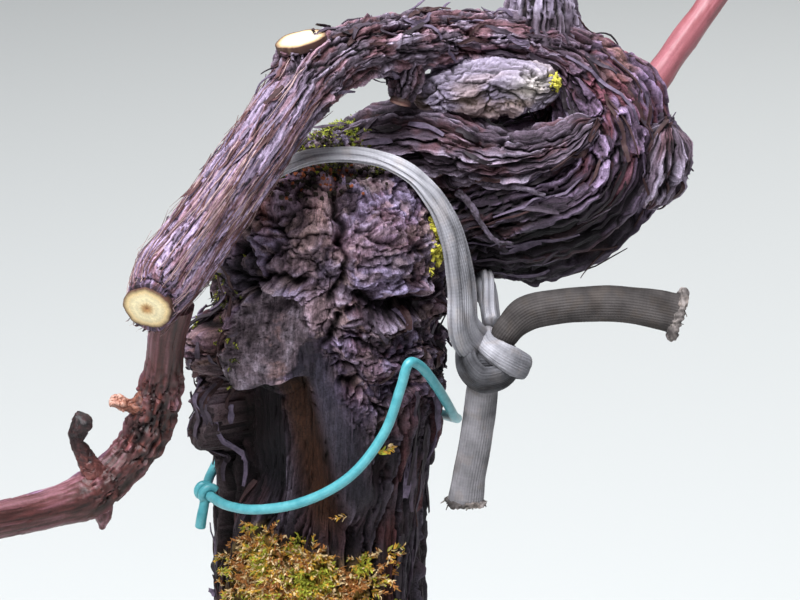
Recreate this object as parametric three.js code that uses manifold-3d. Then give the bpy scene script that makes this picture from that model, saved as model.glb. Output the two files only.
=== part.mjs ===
// An old pruned grapevine, in millimetres: +Z up, +X to the right and +Y away from the viewer.
// The origin is the centre of the flat cut under the trunk, at ground level.
// A short trunk ends in a knobbly head. From behind the head an arm curls round its own old wood,
// runs back to the left as an arch, and comes down as the left arm to a pruned end, where a cane leaves it.
import * as THREE from "three";
import { mergeVertices } from "three/addons/utils/BufferGeometryUtils.js";
import Module from "manifold-3d";

const wasm = await Module();
wasm.setup();

const clearance = 0.3; // gap between two pieces that meet
const ridgeRunOut = 0.1; // share of a limb over which a ridge dies out before its end
const degree = Math.PI / 180;

// Trunk
const trunkHeight = 421;
const trunkLean = 15; // how far the head stands to the right of the foot
const footRadius = 41;
const waistRadius = 28.6;
const headRadius = 31;
const flareHeight = 30; // height over which the root flare dies away
const rootLobes = 5;
const graftHeight = 74; // an old graft, a little above the ground
const graftSwelling = 3.2;
const headStart = 325; // the trunk thickens again above this height
const barkRib = 0.05; // height of the bark's lengthwise ribs, in trunk radii
const barkRibEnd = 0.78; // where they die out, as a share of the trunk's length

// The curl of the arm: a ring round the old wood, in a plane that faces the viewer
const curlCentre = [66, 13, 428];
const curlOuter = [44.5, 37.5, 29, 27.5]; // its outline from the centre: bottom, right, upper right, top
const curlThickest = 23; // limb radius at the bottom of the curl
const curlThinnest = 8.4; // and at its top

// Arch and left arm
const archRadius = 8;
const elbow = [12.5, -24, 449];
const armRadius = 8.4;
const armCutRadius = 6.6;
const armCutCentre = [-27.6, -53, 398.4];

// Canes
const caneRadius = 5.1;
const caneReach = 205; // length of the left cane past its bend
const caneInternode = 52;
const redCaneRadius = 3.6;
const redCaneLength = 275;
const redCaneInternode = 46;
const nodeSwelling = 1.22; // how much thicker a cane is at its nodes
const zigzag = 0.45; // how far a node stands off the cane's line, in its radii

// Ties
const tieWidth = 11; // flat width of the knitted tube
const tieThickness = 5;
const cordRadius = 1.45;

const colours = {
  bark: 0x54464f,
  curl: 0x5c4c5a,
  arm: 0x8a7488,
  oldWood: 0x8d8288,
  cane: 0x6a4648,
  redCane: 0x9c6460,
  cut: 0xd9c9a2,
  tube: 0x85837f,
  cord: 0x4fb6bb,
};

function material(colour, roughness = 0.85) {
  return new THREE.MeshStandardMaterial({ color: colour, roughness, metalness: 0 });
}

function smooth(low, high, value) {
  const t = Math.min(1, Math.max(0, (value - low) / (high - low)));
  return t * t * (3 - 2 * t);
}

// A closed mesh becomes a solid once its vertices are shared.
function solidOf(geometry) {
  const bare = geometry.clone();
  bare.deleteAttribute("normal");
  bare.deleteAttribute("uv");
  const merged = mergeVertices(bare, 1e-4);
  return new wasm.Manifold(
    new wasm.Mesh({
      numProp: 3,
      vertProperties: new Float32Array(merged.attributes.position.array),
      triVerts: new Uint32Array(merged.index.array),
    }),
  );
}

function meshOf(name, solid, look) {
  const whole = solid.decompose().reduce((a, b) => (a.volume() > b.volume() ? a : b));
  const made = whole.getMesh();
  const geometry = new THREE.BufferGeometry();
  geometry.setAttribute("position", new THREE.BufferAttribute(made.vertProperties, 3));
  geometry.setIndex(new THREE.BufferAttribute(made.triVerts, 1));
  geometry.computeVertexNormals();
  const mesh = new THREE.Mesh(geometry, look);
  mesh.name = name;
  return mesh;
}

// Where the rings of a limb lie along it, and how full each is: a round end takes a few rings of a dome.
function ringsOf({ from = 0, to = 1, rings, roundStart = 0, roundEnd = 0 }) {
  const domeSteps = 4;
  const dome = Array.from({ length: domeSteps }, (_, k) => {
    const turn = ((k + 1) / (domeSteps + 0.5)) * (Math.PI / 2);
    return { out: Math.sin(turn), full: Math.cos(turn) };
  });
  const first = from + roundStart;
  const last = to - roundEnd;
  const step = (last - first) / rings;
  const body = Array.from({ length: rings + 1 }, (_, k) => ({ along: first + step * k, full: 1 }));
  const domed = (at, way, depth) => dome.map((d) => ({ along: at + way * depth * d.out, full: d.full }));
  const head = roundStart ? domed(first, -1, roundStart).reverse() : [];
  const tail = roundEnd ? domed(last, 1, roundEnd) : [];
  return [...head, ...body, ...tail];
}

// A limb: a cylinder bent along a smooth curve through its stations, each with a radius r.
// across is the direction of the section's second axis, carried along the curve, or a function of the
// point; flatten squeezes the section along it. Each ridge is {count, depth, phase, twist, fade, end}:
// fade is how fast it dies away from the limb's start, and end where it is gone.
function limb(spec, grow = 0) {
  const { stations, sides, ridges = [], flatten = 1, across = [0, 1, 0] } = spec;
  const points = stations.map((s) => new THREE.Vector3(...s.at));
  const curve = new THREE.CatmullRomCurve3(points, false, "centripetal");
  const radiusAt = (t) => {
    const place = t * (stations.length - 1);
    const k = Math.min(stations.length - 2, Math.floor(place));
    return THREE.MathUtils.lerp(stations[k].r, stations[k + 1].r, smooth(0, 1, place - k));
  };
  const square = (vector, tangent) =>
    vector.clone().addScaledVector(tangent, -tangent.dot(vector)).normalize();
  const carried = [];
  if (Array.isArray(across)) {
    const steps = 240;
    let second = new THREE.Vector3(...across);
    for (let k = 0; k <= steps; k++) {
      second = square(second, curve.getTangent(k / steps).normalize());
      carried.push(second);
    }
  }
  const frames = ringsOf(spec).map(({ along, full }) => {
    const centre = curve.getPoint(along);
    const tangent = curve.getTangent(along).normalize();
    const held = carried[Math.round(along * (carried.length - 1))];
    const second = square(held ?? new THREE.Vector3(...across(centre)), tangent);
    return { centre, first: new THREE.Vector3().crossVectors(tangent, second), second, along, full };
  });
  const geometry = new THREE.CylinderGeometry(1, 1, 1, sides, frames.length - 1);
  const position = geometry.getAttribute("position");
  for (let i = 0; i < position.count; i++) {
    const row = Math.round((0.5 - position.getY(i)) * (frames.length - 1));
    const { centre, first, second, along, full } = frames[row];
    const out = Math.hypot(position.getX(i), position.getZ(i));
    const turn = Math.atan2(position.getZ(i), position.getX(i));
    const relief = ridges.reduce((sum, { count, depth, phase, twist, fade = 0, end = 2 }) => {
      const strength = depth * Math.exp(-along * fade) * smooth(end, end - ridgeRunOut, along);
      return sum + strength * Math.cos(count * turn + phase + twist * along);
    }, 1);
    const radius = out * full * (radiusAt(along) * relief + grow);
    const point = centre.clone()
      .addScaledVector(first, radius * Math.cos(turn))
      .addScaledVector(second, radius * flatten * Math.sin(turn));
    position.setXYZ(i, point.x, point.y, point.z);
  }
  const solid = solidOf(geometry);
  return solid.volume() > 0 ? solid : solidOf(flipped(geometry));
}

// The same surface with its faces turned the other way.
function flipped(geometry) {
  const turned = geometry.clone();
  const index = turned.getIndex();
  for (let i = 0; i < index.count; i += 3) {
    const second = index.getX(i + 1);
    index.setX(i + 1, index.getX(i + 2));
    index.setX(i + 2, second);
  }
  return turned;
}

// An ellipsoid lump, for burls, lobes and buds.
function lump({ at, size, turn = [0, 0, 0], detail = 14 }, grow = 0) {
  const geometry = new THREE.SphereGeometry(1, detail, Math.max(5, Math.round(detail * 0.6)));
  geometry.scale(size[0] + grow, size[1] + grow, size[2] + grow);
  const tilt = new THREE.Euler(...turn.map((a) => a * degree));
  geometry.applyMatrix4(new THREE.Matrix4().makeRotationFromEuler(tilt));
  geometry.translate(...at);
  return solidOf(geometry);
}

// The trunk's line and thickness by height.
function trunkCentre(z) {
  const lean = trunkLean * smooth(30, 390, z) + 1.2 * Math.sin(z / 45);
  return [lean, 3 * Math.sin((z / trunkHeight) * Math.PI), z];
}

function trunkRadius(z) {
  const flare = (footRadius - waistRadius) * Math.exp(-z / flareHeight);
  const graft = graftSwelling * Math.exp(-(((z - graftHeight) / 24) ** 2));
  const head = (headRadius - waistRadius) * smooth(headStart, headStart + 32, z);
  return waistRadius + flare + graft + head;
}

// Lumps of callus and old scars: they stand out of the trunk's front and sides.
const trunkLumps = {
  rightLobe: { at: [29.5, -15, 404.5], size: [16, 15.5, 16.5] },
  leftLobe: { at: [0.5, -16, 403], size: [16, 15, 17.5] },
  topRidge: { at: [15, 4, 413], size: [21, 22, 11.5] },
  lowerRightBurl: { at: [27, -24, 376], size: [8.5, 8, 8] },
  lip: { at: [18, -22, 384], size: [17, 11, 9] },
  leftBurl: { at: [-14, -15, 375], size: [7.5, 8, 9] },
  leftShag: { at: [-15, -8, 355], size: [6.5, 8, 13] },
  rightShag: { at: [42.5, -3, 355], size: [4.5, 9, 20] },
  dryColumn: { at: [22, -20.5, 350], size: [10.5, 10.5, 27] },
  lowScarLeft: { at: [-15, -9, 196], size: [8, 11, 15] },
  lowScarRight: { at: [26, 15, 118], size: [9, 10, 13] },
};

// The old pruning wound on the head's front: a flat plate of dry wood.
const wound = { at: [0, -25.5, 378], size: [13.5, 6.4, 17], turn: [-7, 0, -12], detail: 16 };

// Rot has hollowed the trunk under the wound.
const deadGroove = { at: [9.5, -31.5, 345], size: [9, 10.5, 22], detail: 12 };

function trunk(grow = 0) {
  const levels = 15;
  const buried = 12; // the stem starts below the ground and is cut flat there
  const stations = Array.from({ length: levels }, (_, k) => {
    const z = -buried + ((trunkHeight + buried) * k) / (levels - 1);
    return { at: trunkCentre(z), r: trunkRadius(Math.max(0, z)) };
  });
  const wide = 6 * footRadius;
  const earth = new THREE.BoxGeometry(wide, wide, 4 * buried).translate(0, 0, -2 * buried);
  const stem = limb({
    stations,
    sides: 46,
    rings: 28,
    roundEnd: 0.035,
    ridges: [
      { count: rootLobes, depth: 0.17, phase: 0.6, twist: 6, fade: 11 },
      { count: rootLobes, depth: 0.03, phase: 0.6, twist: 6 },
      { count: 3, depth: 0.03, phase: 2.0, twist: -1.5 },
      { count: 9, depth: barkRib, phase: 0.3, twist: 5, end: barkRibEnd },
      { count: 7, depth: 0.8 * barkRib, phase: 1.9, twist: -7, end: barkRibEnd },
    ],
  }, grow);
  return [...Object.values(trunkLumps), wound]
    .reduce((sum, spec) => sum.add(lump(spec, grow)), stem)
    .subtract(lump(deadGroove, -grow))
    .subtract(solidOf(earth));
}

// The whole arm is one line: out of the trunk's back, round the curl, back as the arch and down to its cut.
// On the curl 0 degrees is its right side and 90 its top. It leans away from the viewer on the right.
function curlStation(angle) {
  const c = Math.cos(angle * degree);
  const s = Math.sin(angle * degree);
  const [bottom, right, upper, top] = curlOuter;
  const r = THREE.MathUtils.lerp(curlThickest, curlThinnest, smooth(-50, 92, angle));
  const outer = bottom + (right - bottom) * smooth(-40, 5, angle) + (upper - right) * smooth(0, 50, angle)
    + (top - upper) * smooth(40, 95, angle);
  const line = outer - r;
  return { at: [curlCentre[0] + line * c, curlCentre[1] + 3 * c, curlCentre[2] + line * s], r };
}

const armLine = {
  stations: [
    { at: [20, 9, 397], r: 13 },
    { at: [43, 11, 400], r: 18 },
    ...[-88, -58, -28, 2, 32, 62, 92].map(curlStation),
    { at: [48, 8, 450.4], r: 7.7 },
    { at: [34.5, -2, 452], r: archRadius },
    { at: [22, -14.5, 453], r: archRadius },
    { at: elbow, r: 9.2 },
    { at: [4.8, -34, 441.5], r: 8.2 },
    { at: [-5, -41.5, 428.5], r: armRadius },
    { at: [-15, -44, 414.5], r: 8.8 },
    { at: [-22.6, -45.5, 404], r: 9.2 },
    { at: [-26.4, -49.3, 399.2], r: 7.6 },
    { at: armCutCentre, r: armCutRadius },
  ],
  flatten: 0.92,
  ridges: [
    { count: 5, depth: 0.035, phase: 0.4, twist: 7 },
    { count: 2, depth: 0.035, phase: 1, twist: 5 },
    { count: 8, depth: 0.016, phase: 1.3, twist: 9 },
  ],
};

// Where along the line its pieces meet, as station numbers.
const joints = { curlSide: 5.1, curlTop: 8, elbow: 12, end: armLine.stations.length - 1 };

function armPiece(fromStation, toStation, sides, rings, grow) {
  const last = joints.end;
  const step = new THREE.Vector3(...armLine.stations[Math.ceil(fromStation)].at)
    .distanceTo(new THREE.Vector3(...armLine.stations[Math.max(0, Math.ceil(fromStation) - 1)].at));
  const gap = fromStation > 0 ? (clearance * 1.2) / Math.max(step, 1) : 0;
  return limb({ ...armLine, sides, rings, from: (fromStation + gap) / last, to: toStation / last }, grow);
}

const curlLower = (grow = 0) => armPiece(0, joints.curlSide, 20, 15, grow);
const curlUpper = (grow = 0) => armPiece(joints.curlSide, joints.curlTop, 18, 9, grow);
const arch = (grow = 0) => armPiece(joints.curlTop, joints.elbow, 14, 12, grow);

function leftArm(grow = 0) {
  const fork = lump({ at: [-21, -42.5, 399], size: [6.2, 6.5, 7.5], detail: 10 }, grow);
  return armPiece(joints.elbow, joints.end, 14, 15, grow).add(fork);
}

// The first roll of bark, over the trunk's top and in front of the curl's beginning.
function shoulder(grow = 0) {
  return limb({
    stations: [
      { at: [15, 15, 411], r: 10 },
      { at: [32, 9, 421], r: 11 },
      { at: [45, 3, 423.5], r: 10.8 },
      { at: [58, -1, 421], r: 8.6 },
      { at: [69, -2.6, 421.5], r: 7.4 },
      { at: [78, -2, 424.8], r: 6.6 },
      { at: [85, 0, 430.5], r: 5.6 },
    ],
    sides: 14,
    rings: 14,
    roundEnd: 0.06,
    ridges: [{ count: 5, depth: 0.03, phase: 0, twist: 2 }],
  }, grow);
}

// Old bare wood in the eye of the curl.
function oldWoodCore(grow = 0) {
  return limb({
    stations: [
      { at: [38, 6, 435.5], r: 5.2 },
      { at: [50, 3, 437.8], r: 7.5 },
      { at: [63, 3, 438.8], r: 7.7 },
      { at: [76, 6, 437.5], r: 5.6 },
    ],
    sides: 12,
    rings: 7,
    roundStart: 0.12,
    roundEnd: 0.1,
    ridges: [{ count: 3, depth: 0.05, phase: 1, twist: 1.5 }],
  }, grow);
}

function curlSideLobe(grow = 0) {
  return lump({ at: [101.5, 9, 415.5], size: [9, 9.5, 12], turn: [0, 14, 0], detail: 14 }, grow);
}

// A pruning stump: a short limb that ends in a flat cut.
function stump({ from, to, r, base = 1.25 }, grow = 0) {
  const middle = from.map((v, k) => (v + to[k]) / 2);
  return limb({
    stations: [{ at: from, r: r * base }, { at: middle, r: r * 1.08 }, { at: to, r }],
    sides: 14,
    rings: 5,
  }, grow);
}

const elbowCut = { from: [11.5, -23, 450], to: [9.6, -23.5, 458.4], r: 6.4 };
const topStub = { from: [71.5, 17, 446], to: [73, 24, 487], r: 8.3 };

function hangingStub(grow = 0) {
  return limb({
    stations: [
      { at: [37, -1, 450], r: 4.6 },
      { at: [36, -4, 443], r: 4.4 },
      { at: [34.5, -6, 437.5], r: 3.2 },
    ],
    sides: 10,
    rings: 5,
    roundEnd: 0.15,
  }, grow);
}

// A cane: its stations are its shape, and past them it goes straight on, thicker and with a bud at each node.
function cane({ stations, radius, tipRadius, direction, reach, internode, side }, grow = 0) {
  const start = stations[stations.length - 1];
  const heading = new THREE.Vector3(...direction).normalize();
  const sideways = new THREE.Vector3(...side);
  const nodes = Math.floor(reach / internode);
  const straight = [];
  for (let k = 1; k <= nodes; k++) {
    const out = k % 2 ? 1 : -1;
    const along = k * internode;
    const at = new THREE.Vector3(...start.at).addScaledVector(heading, along);
    at.addScaledVector(sideways, out * radius * zigzag);
    const r = THREE.MathUtils.lerp(radius, tipRadius, along / reach);
    straight.push({ at: at.toArray(), r: r * nodeSwelling, out });
    straight.push({ at: at.clone().addScaledVector(heading, internode * 0.22).toArray(), r: r * 0.98 });
  }
  straight[straight.length - 1].r = tipRadius;
  const rings = stations.length * 2 + nodes * 4;
  const rod = limb({ stations: [...stations, ...straight], sides: 8, rings, across: side }, grow);
  return straight
    .filter((s) => s.out)
    .reduce((sum, s) => sum.add(bud(s, sideways, heading, radius, grow)), rod);
}

// A bud sits on the side of its node and points along the cane.
function bud(node, sideways, heading, radius, grow) {
  const at = new THREE.Vector3(...node.at);
  at.addScaledVector(sideways, node.out * radius * 1.15).addScaledVector(heading, radius * 0.5);
  const size = [radius * 0.5, radius * 0.5, radius * 0.95];
  const pointing = heading.clone().addScaledVector(sideways, node.out * 0.6).normalize();
  const turn = new THREE.Quaternion().setFromUnitVectors(new THREE.Vector3(0, 0, 1), pointing);
  const euler = new THREE.Euler().setFromQuaternion(turn);
  const tilt = [euler.x, euler.y, euler.z].map((a) => a / degree);
  return lump({ at: at.toArray(), size, turn: tilt, detail: 8 }, grow);
}

const leftCane = {
  stations: [
    { at: [-22, -41, 395], r: 5.0 },
    { at: [-24, -38.5, 387], r: 4.9 },
    { at: [-25.2, -36.5, 378], r: 4.7 },
    { at: [-27, -35, 367.5], r: 5.3 },
    { at: [-30.4, -35, 358], r: 5.8 },
    { at: [-36.8, -37, 349.5], r: 5.5 },
    { at: [-44.5, -42, 343.8], r: 6.0 },
    { at: [-55, -51, 343.2], r: 5.0 },
    { at: [-65, -62, 345.4], r: 4.7 },
  ],
  radius: caneRadius * 0.9,
  tipRadius: 3.6,
  direction: [-0.68, -0.7, 0.12],
  reach: caneReach,
  internode: caneInternode,
  side: [0, 0.1, 1],
};

const redCane = {
  stations: [
    { at: [92, 19, 424], r: 5.4 },
    { at: [100, 27, 430], r: 4.1 },
    { at: [108.5, 36, 439], r: redCaneRadius },
    { at: [118.5, 45, 450.5], r: redCaneRadius },
  ],
  radius: redCaneRadius,
  tipRadius: 2.5,
  direction: [0.52, 0.28, 0.8],
  reach: redCaneLength,
  internode: redCaneInternode,
  side: [0.78, -0.2, -0.45],
};

const spurStub = { from: [-29.5, -35.5, 366], to: [-39, -38.5, 367.6], r: 1.7, base: 1.6 };

function peduncleStub(grow = 0) {
  return limb({
    stations: [
      { at: [-41.5, -40.5, 346.5], r: 3.6 },
      { at: [-45.2, -42, 353], r: 2.2 },
      { at: [-47.4, -42.5, 358.5], r: 1.5 },
      { at: [-46.6, -43, 363.5], r: 2.3 },
      { at: [-44.2, -43.5, 364.8], r: 1.9 },
    ],
    sides: 8,
    rings: 9,
  }, grow);
}

function lowerBud(grow = 0) {
  return lump({ at: [-41.6, -41.6, 338], size: [2.4, 2.4, 5], turn: [0, 10, 0], detail: 8 }, grow);
}

// The knitted tube that is tied round the head: a flat band over its top, down its right and round its back.
const headRing = {
  stations: [
    [54.5, -20.5, 375.5], [51, -24.8, 382], [50.2, -23.6, 394], [48, -21, 405], [44, -18.5, 414],
    [37.5, -17, 421.3], [29, -17, 425.4], [19, -18.5, 427], [8.5, -22, 426.4], [-3, -25, 420.5],
    [-13, -21, 409], [-20.5, -9, 398],
    [-23, 5, 389], [-18, 22, 382], [-5, 35, 377], [14, 40, 375], [34, 37, 375], [49, 24, 378], [56, 8, 383],
    [57.6, -8, 384], [58.4, -17, 379],
  ],
  halfWidth: 5.4,
  narrow: 3.1, // half width over the head's top
};

// A flat band through its points, all as wide or each with its own half width.
function band(points, halfWidth, sides, rings, across, grow) {
  const stations = points.map((at, k) => ({ at, r: Array.isArray(halfWidth) ? halfWidth[k] : halfWidth }));
  return limb({ stations, sides, rings, flatten: tieThickness / tieWidth, across }, grow);
}

const outOfHead = (point) => [point.x - 16, point.y - 4, point.z - 388];

function tieRing(grow = 0) {
  const { stations, halfWidth, narrow } = headRing;
  const squeeze = (k) => smooth(1, 6, k) - smooth(10, 17, k);
  const widths = stations.map((_, k) => THREE.MathUtils.lerp(halfWidth, narrow, squeeze(k)));
  return band(stations, widths, 8, 40, outOfHead, grow);
}

function tieKnot(grow = 0) {
  const body = lump({ at: [56.8, -21.5, 371], size: [7.2, 6.4, 5.8], turn: [0, -14, 0], detail: 12 }, grow);
  const loop = lump({ at: [62.8, -22, 373.2], size: [5.6, 5.2, 5.4], turn: [0, 20, 0], detail: 12 }, grow);
  return body.add(loop);
}

function tieTailDown(grow = 0) {
  const points = [
    [56.2, -21.5, 368.5], [55.6, -22, 361], [54.2, -22, 350], [52.6, -22, 340], [51.6, -22, 332.5],
  ];
  return band(points, tieWidth * 0.41, 10, 7, [0.2, -0.9, 0.2], grow);
}

function tieTailSide(grow = 0) {
  const points = [
    [60.6, -20, 376.5], [66, -18.5, 382.3], [75.9, -17, 385.4], [91, -15.5, 385.6], [106.6, -15.5, 382.6],
  ];
  return band(points, tieWidth * 0.45, 10, 9, [0.1, -0.9, 0.3], grow);
}

// The thin plastic cord round the trunk, knotted on the left.
const cordRoute = [
  [-15.9, -13.5, 330.6], [-10.8, -22.5, 331.8], [-3.5, -28.8, 333.4], [8.5, -32.3, 336.8], [21.4, -34, 344.8],
  [30.4, -33, 356.5], [34.6, -32.4, 368.6], [36.8, -31.6, 375.4], [39.2, -28.6, 373.8], [43.8, -22, 365.5],
  [48.6, -9, 352], [49.4, 6, 345], [42, 23, 340], [28, 32.8, 336], [12, 34.8, 333], [-4, 28, 331],
  [-14, 15, 330],
  [-17.4, 3, 329.8], [-17.6, -7, 330.4],
];

function cordRing(grow = 0) {
  const stations = cordRoute.map((at) => ({ at, r: cordRadius }));
  return limb({ stations, sides: 6, rings: 54, across: (point) => [point.x - 15, point.y, 0] }, grow);
}

function cordKnot(grow = 0) {
  return lump({ at: [-17, -10.4, 330.8], size: [3, 3, 3.2], detail: 10 }, grow);
}

function cordTail(grow = 0) {
  const points = [[-17.2, -11, 329], [-17.9, -11.8, 325.5], [-18.7, -12.4, 321.5]];
  return limb({ stations: points.map((at) => ({ at, r: cordRadius })), sides: 8, rings: 3 }, grow);
}

// Each piece is cut clear of the pieces that it grows from or lies on.
function clearOf(piece, ...others) {
  return others.reduce((left, other) => left.subtract(other(clearance)), piece(0));
}

const make = (build, spec) => (grow = 0) => build(spec, grow);
const elbowStump = make(stump, elbowCut);
const topStump = make(stump, topStub);
const caneLeft = make(cane, leftCane);
const caneRed = make(cane, redCane);
const spur = make(stump, spurStub);

const pieces = [
  ["trunk", trunk(), material(colours.bark)],
  ["curl_lower", clearOf(curlLower, trunk), material(colours.curl)],
  ["curl_upper", clearOf(curlUpper, curlLower), material(colours.curl)],
  ["curl_side_lobe", clearOf(curlSideLobe, curlLower, curlUpper), material(colours.curl)],
  ["shoulder", clearOf(shoulder, trunk, curlLower, curlUpper).subtract(curlLower()), material(colours.curl)],
  ["old_wood_core", clearOf(oldWoodCore, curlLower, curlUpper, shoulder), material(colours.oldWood)],
  ["arch", clearOf(arch, curlUpper, oldWoodCore), material(colours.arm)],
  ["left_arm", clearOf(leftArm, arch), material(colours.arm)],
  ["elbow_cut_stump", clearOf(elbowStump, arch, leftArm), material(colours.cut)],
  ["hanging_stub", clearOf(hangingStub, arch, oldWoodCore), material(colours.bark)],
  ["top_stub", clearOf(topStump, curlUpper, arch, oldWoodCore), material(colours.oldWood)],
  ["cane_left", clearOf(caneLeft, leftArm), material(colours.cane, 0.6)],
  ["cane_spur_stub", clearOf(spur, caneLeft), material(colours.redCane)],
  ["cane_dry_stalk", clearOf(peduncleStub, caneLeft), material(colours.cane)],
  ["cane_lower_bud", clearOf(lowerBud, caneLeft), material(colours.cane)],
  ["cane_right", clearOf(caneRed, curlUpper, curlLower), material(colours.redCane, 0.55)],
  ["tie_knot", clearOf(tieKnot, trunk), material(colours.tube)],
  ["tie_ring", clearOf(tieRing, trunk, curlLower, shoulder, tieKnot), material(colours.tube)],
  ["tie_tail_down", clearOf(tieTailDown, tieKnot, trunk), material(colours.tube)],
  ["tie_tail_side", clearOf(tieTailSide, tieKnot, tieRing, curlLower), material(colours.tube)],
  ["cord_knot", clearOf(cordKnot, trunk), material(colours.cord, 0.4)],
  ["cord_ring", clearOf(cordRing, trunk, cordKnot), material(colours.cord, 0.4)],
  ["cord_tail", clearOf(cordTail, cordKnot, trunk), material(colours.cord, 0.4)],
];

const grapevine = new THREE.Group();
for (const [name, solid, look] of pieces) grapevine.add(meshOf(name, solid, look));

export default grapevine;
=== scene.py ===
"""An old pruned grapevine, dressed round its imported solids: callus, peeling bark, moss, cuts, canes and ties.

Shapes are worked out in millimetres and put into the scene in metres: +X right, +Y away, +Z up.
A skin is a closed grid wrapped round a limb: its columns go round (turn), its rows go along (run).
What grows on a skin, such as loose bark and moss, is found by the skin's own rows and columns.
"""
import math
from itertools import product

import bmesh
import bpy
import numpy as np
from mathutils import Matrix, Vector


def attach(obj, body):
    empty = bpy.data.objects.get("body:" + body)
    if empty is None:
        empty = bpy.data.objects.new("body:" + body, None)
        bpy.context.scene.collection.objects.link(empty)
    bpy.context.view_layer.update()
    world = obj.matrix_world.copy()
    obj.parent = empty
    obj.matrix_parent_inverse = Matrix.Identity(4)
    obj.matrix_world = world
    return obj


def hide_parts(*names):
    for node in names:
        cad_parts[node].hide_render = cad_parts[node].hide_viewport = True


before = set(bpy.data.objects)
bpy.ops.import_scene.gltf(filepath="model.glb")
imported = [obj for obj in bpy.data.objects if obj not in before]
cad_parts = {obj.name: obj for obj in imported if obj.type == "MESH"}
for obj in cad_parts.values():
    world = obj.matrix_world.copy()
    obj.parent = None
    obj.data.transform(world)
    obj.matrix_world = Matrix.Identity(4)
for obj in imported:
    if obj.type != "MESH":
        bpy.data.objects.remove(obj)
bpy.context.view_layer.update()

MM = 0.001
TAU = 2 * math.pi
SEED = 21  # of every random draw in this file
LINE_STEPS = 48  # a limb's line has this many steps from one station to the next
BARK_EDGE = 36  # bends sharper than this, in degrees, are shaded as edges in bark
RAGGED_EDGE = 40  # and in small torn limbs
NO_EDGE = 180
LEAST_STEP = 0.02  # a skin's cell counts as at least this long, also at a pole

# Camera: level with the head's front, looking down on it
CAMERA_TARGET = (34.5, 0, 381)
CAMERA_DISTANCE = 850
CAMERA_ELEVATION = math.radians(20)
CAMERA_LENS = 145

# Trunk
TRUNK_HEIGHT = 421
TRUNK_LEAN = 15
FOOT_RADIUS, WAIST_RADIUS, HEAD_RADIUS = 41, 28.6, 31
FLARE_HEIGHT = 30
ROOT_LOBES = 5
BARK_RIB = 0.05  # height of the bark's lengthwise ribs, in trunk radii
BARK_RIB_END = 0.78  # where they die out, as a share of the trunk's length
GRAFT_HEIGHT, GRAFT_SWELLING = 74, 3.2
HEAD_START = 325
BURIED = 12  # the stem's line starts this far below the ground
DOME_START = 395  # above this the trunk's surface is seen from a point inside the head
DOME_RADIUS = 31
DOME_HEIGHT = 26.5

# The curl of the arm round its old wood
CURL_CENTRE = (66, 13, 428)
CURL_OUTER = (44.5, 37.5, 29, 27.5)  # its outline's distance from the centre: bottom, right, upper right, top
CURL_THICKEST, CURL_THINNEST = 23, 8.4


# Numbers

def smooth(low, high, value):
    """0 below low, 1 above high, and an even rise between them."""
    t = np.clip((value - low) / (high - low), 0, 1)
    return t * t * (3 - 2 * t)


def mix(a, b, share):
    """a where share is 0 and b where it is 1; colours mix by a share for each point."""
    share = np.asarray(share)
    if np.ndim(a) > np.ndim(share) or np.ndim(b) > np.ndim(share):
        share = share[..., None]
    return a * (1 - share) + b * share


def paint(code):
    """A linear colour from its six-figure code."""
    parts = [int(code[k:k + 2], 16) / 255 for k in (0, 2, 4)]
    return np.array([c / 12.92 if c <= 0.04045 else ((c + 0.055) / 1.055) ** 2.4 for c in parts])


def paints(codes):
    return [paint(code) for code in codes.split()]


def unit(vectors):
    return vectors / np.maximum(np.linalg.norm(vectors, axis=-1, keepdims=True), 1e-9)


dice = np.random.default_rng(SEED)
SLOPES = unit(dice.normal(size=(256, 3)))
ORDER = dice.permutation(256)


def noise(p, seed=0):
    """Smooth noise between about -1 and 1, with one bump to each unit of p."""
    cell = np.floor(p)
    f = p - cell
    cell = cell.astype(np.int64)
    w = f * f * f * (f * (f * 6 - 15) + 10)
    total = 0
    for corner in product((0, 1), repeat=3):
        x, y, z = (cell[..., k] + corner[k] for k in range(3))
        slope = SLOPES[ORDER[(ORDER[(ORDER[(x + 31 * seed) & 255] + y) & 255] + z) & 255]]
        share = np.prod([w[..., k] if corner[k] else 1 - w[..., k] for k in range(3)], axis=0)
        total = total + share * ((f - corner) * slope).sum(-1)
    return 1.7 * total


def layers(p, octaves=4, seed=0, gain=0.5):
    """Noise on noise: each octave is twice as fine as the last, and gain times as strong."""
    return sum(gain ** k * noise(p * 2 ** k, seed + k) for k in range(octaves))


def swellings(p, octaves=2, seed=0):
    """Round swellings with sharp creases between them, from 0 in a crease to about 1."""
    return sum(0.5 ** k * np.abs(noise(p * 2 ** k, seed + k)) for k in range(octaves))


def crack(p, seed, width=0.06):
    """1 along the thin lines where the noise changes sign."""
    return smooth(width, 0, np.abs(noise(p, seed)))


CHANCE = dice.random(256)
SCATTER = dice.random((256, 3))


def plates(p, seed, edge=0.14):
    """Plates like those of bark, one to each unit of p, each with its own height and tilt and a gap round it.

    Returns each point's height, its plate's chance, and a gap that is 1 between plates."""
    cell = np.floor(p).astype(np.int64)
    near_by = np.full(p.shape[:-1], 9.0)
    next_by = near_by
    way = np.zeros_like(p)
    number = np.zeros(p.shape[:-1], np.int64)
    for corner in product((-1, 0, 1), repeat=3):
        x, y, z = (cell[..., k] + corner[k] for k in range(3))
        found = ORDER[(ORDER[(ORDER[(x + 31 * seed) & 255] + y) & 255] + z) & 255]
        apart = p - np.stack([x, y, z], -1) - SCATTER[found]
        distance = np.sqrt((apart * apart).sum(-1))
        closer = distance < near_by
        next_by = np.where(closer, near_by, np.minimum(next_by, distance))
        near_by = np.where(closer, distance, near_by)
        way = np.where(closer[..., None], apart, way)
        number = np.where(closer, found, number)
    gap = smooth(edge, 0, next_by - near_by)
    height = CHANCE[number] - 0.5 + 1.1 * (way * SLOPES[number]).sum(-1)
    return height, CHANCE[(number + 57) & 255], gap


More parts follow.
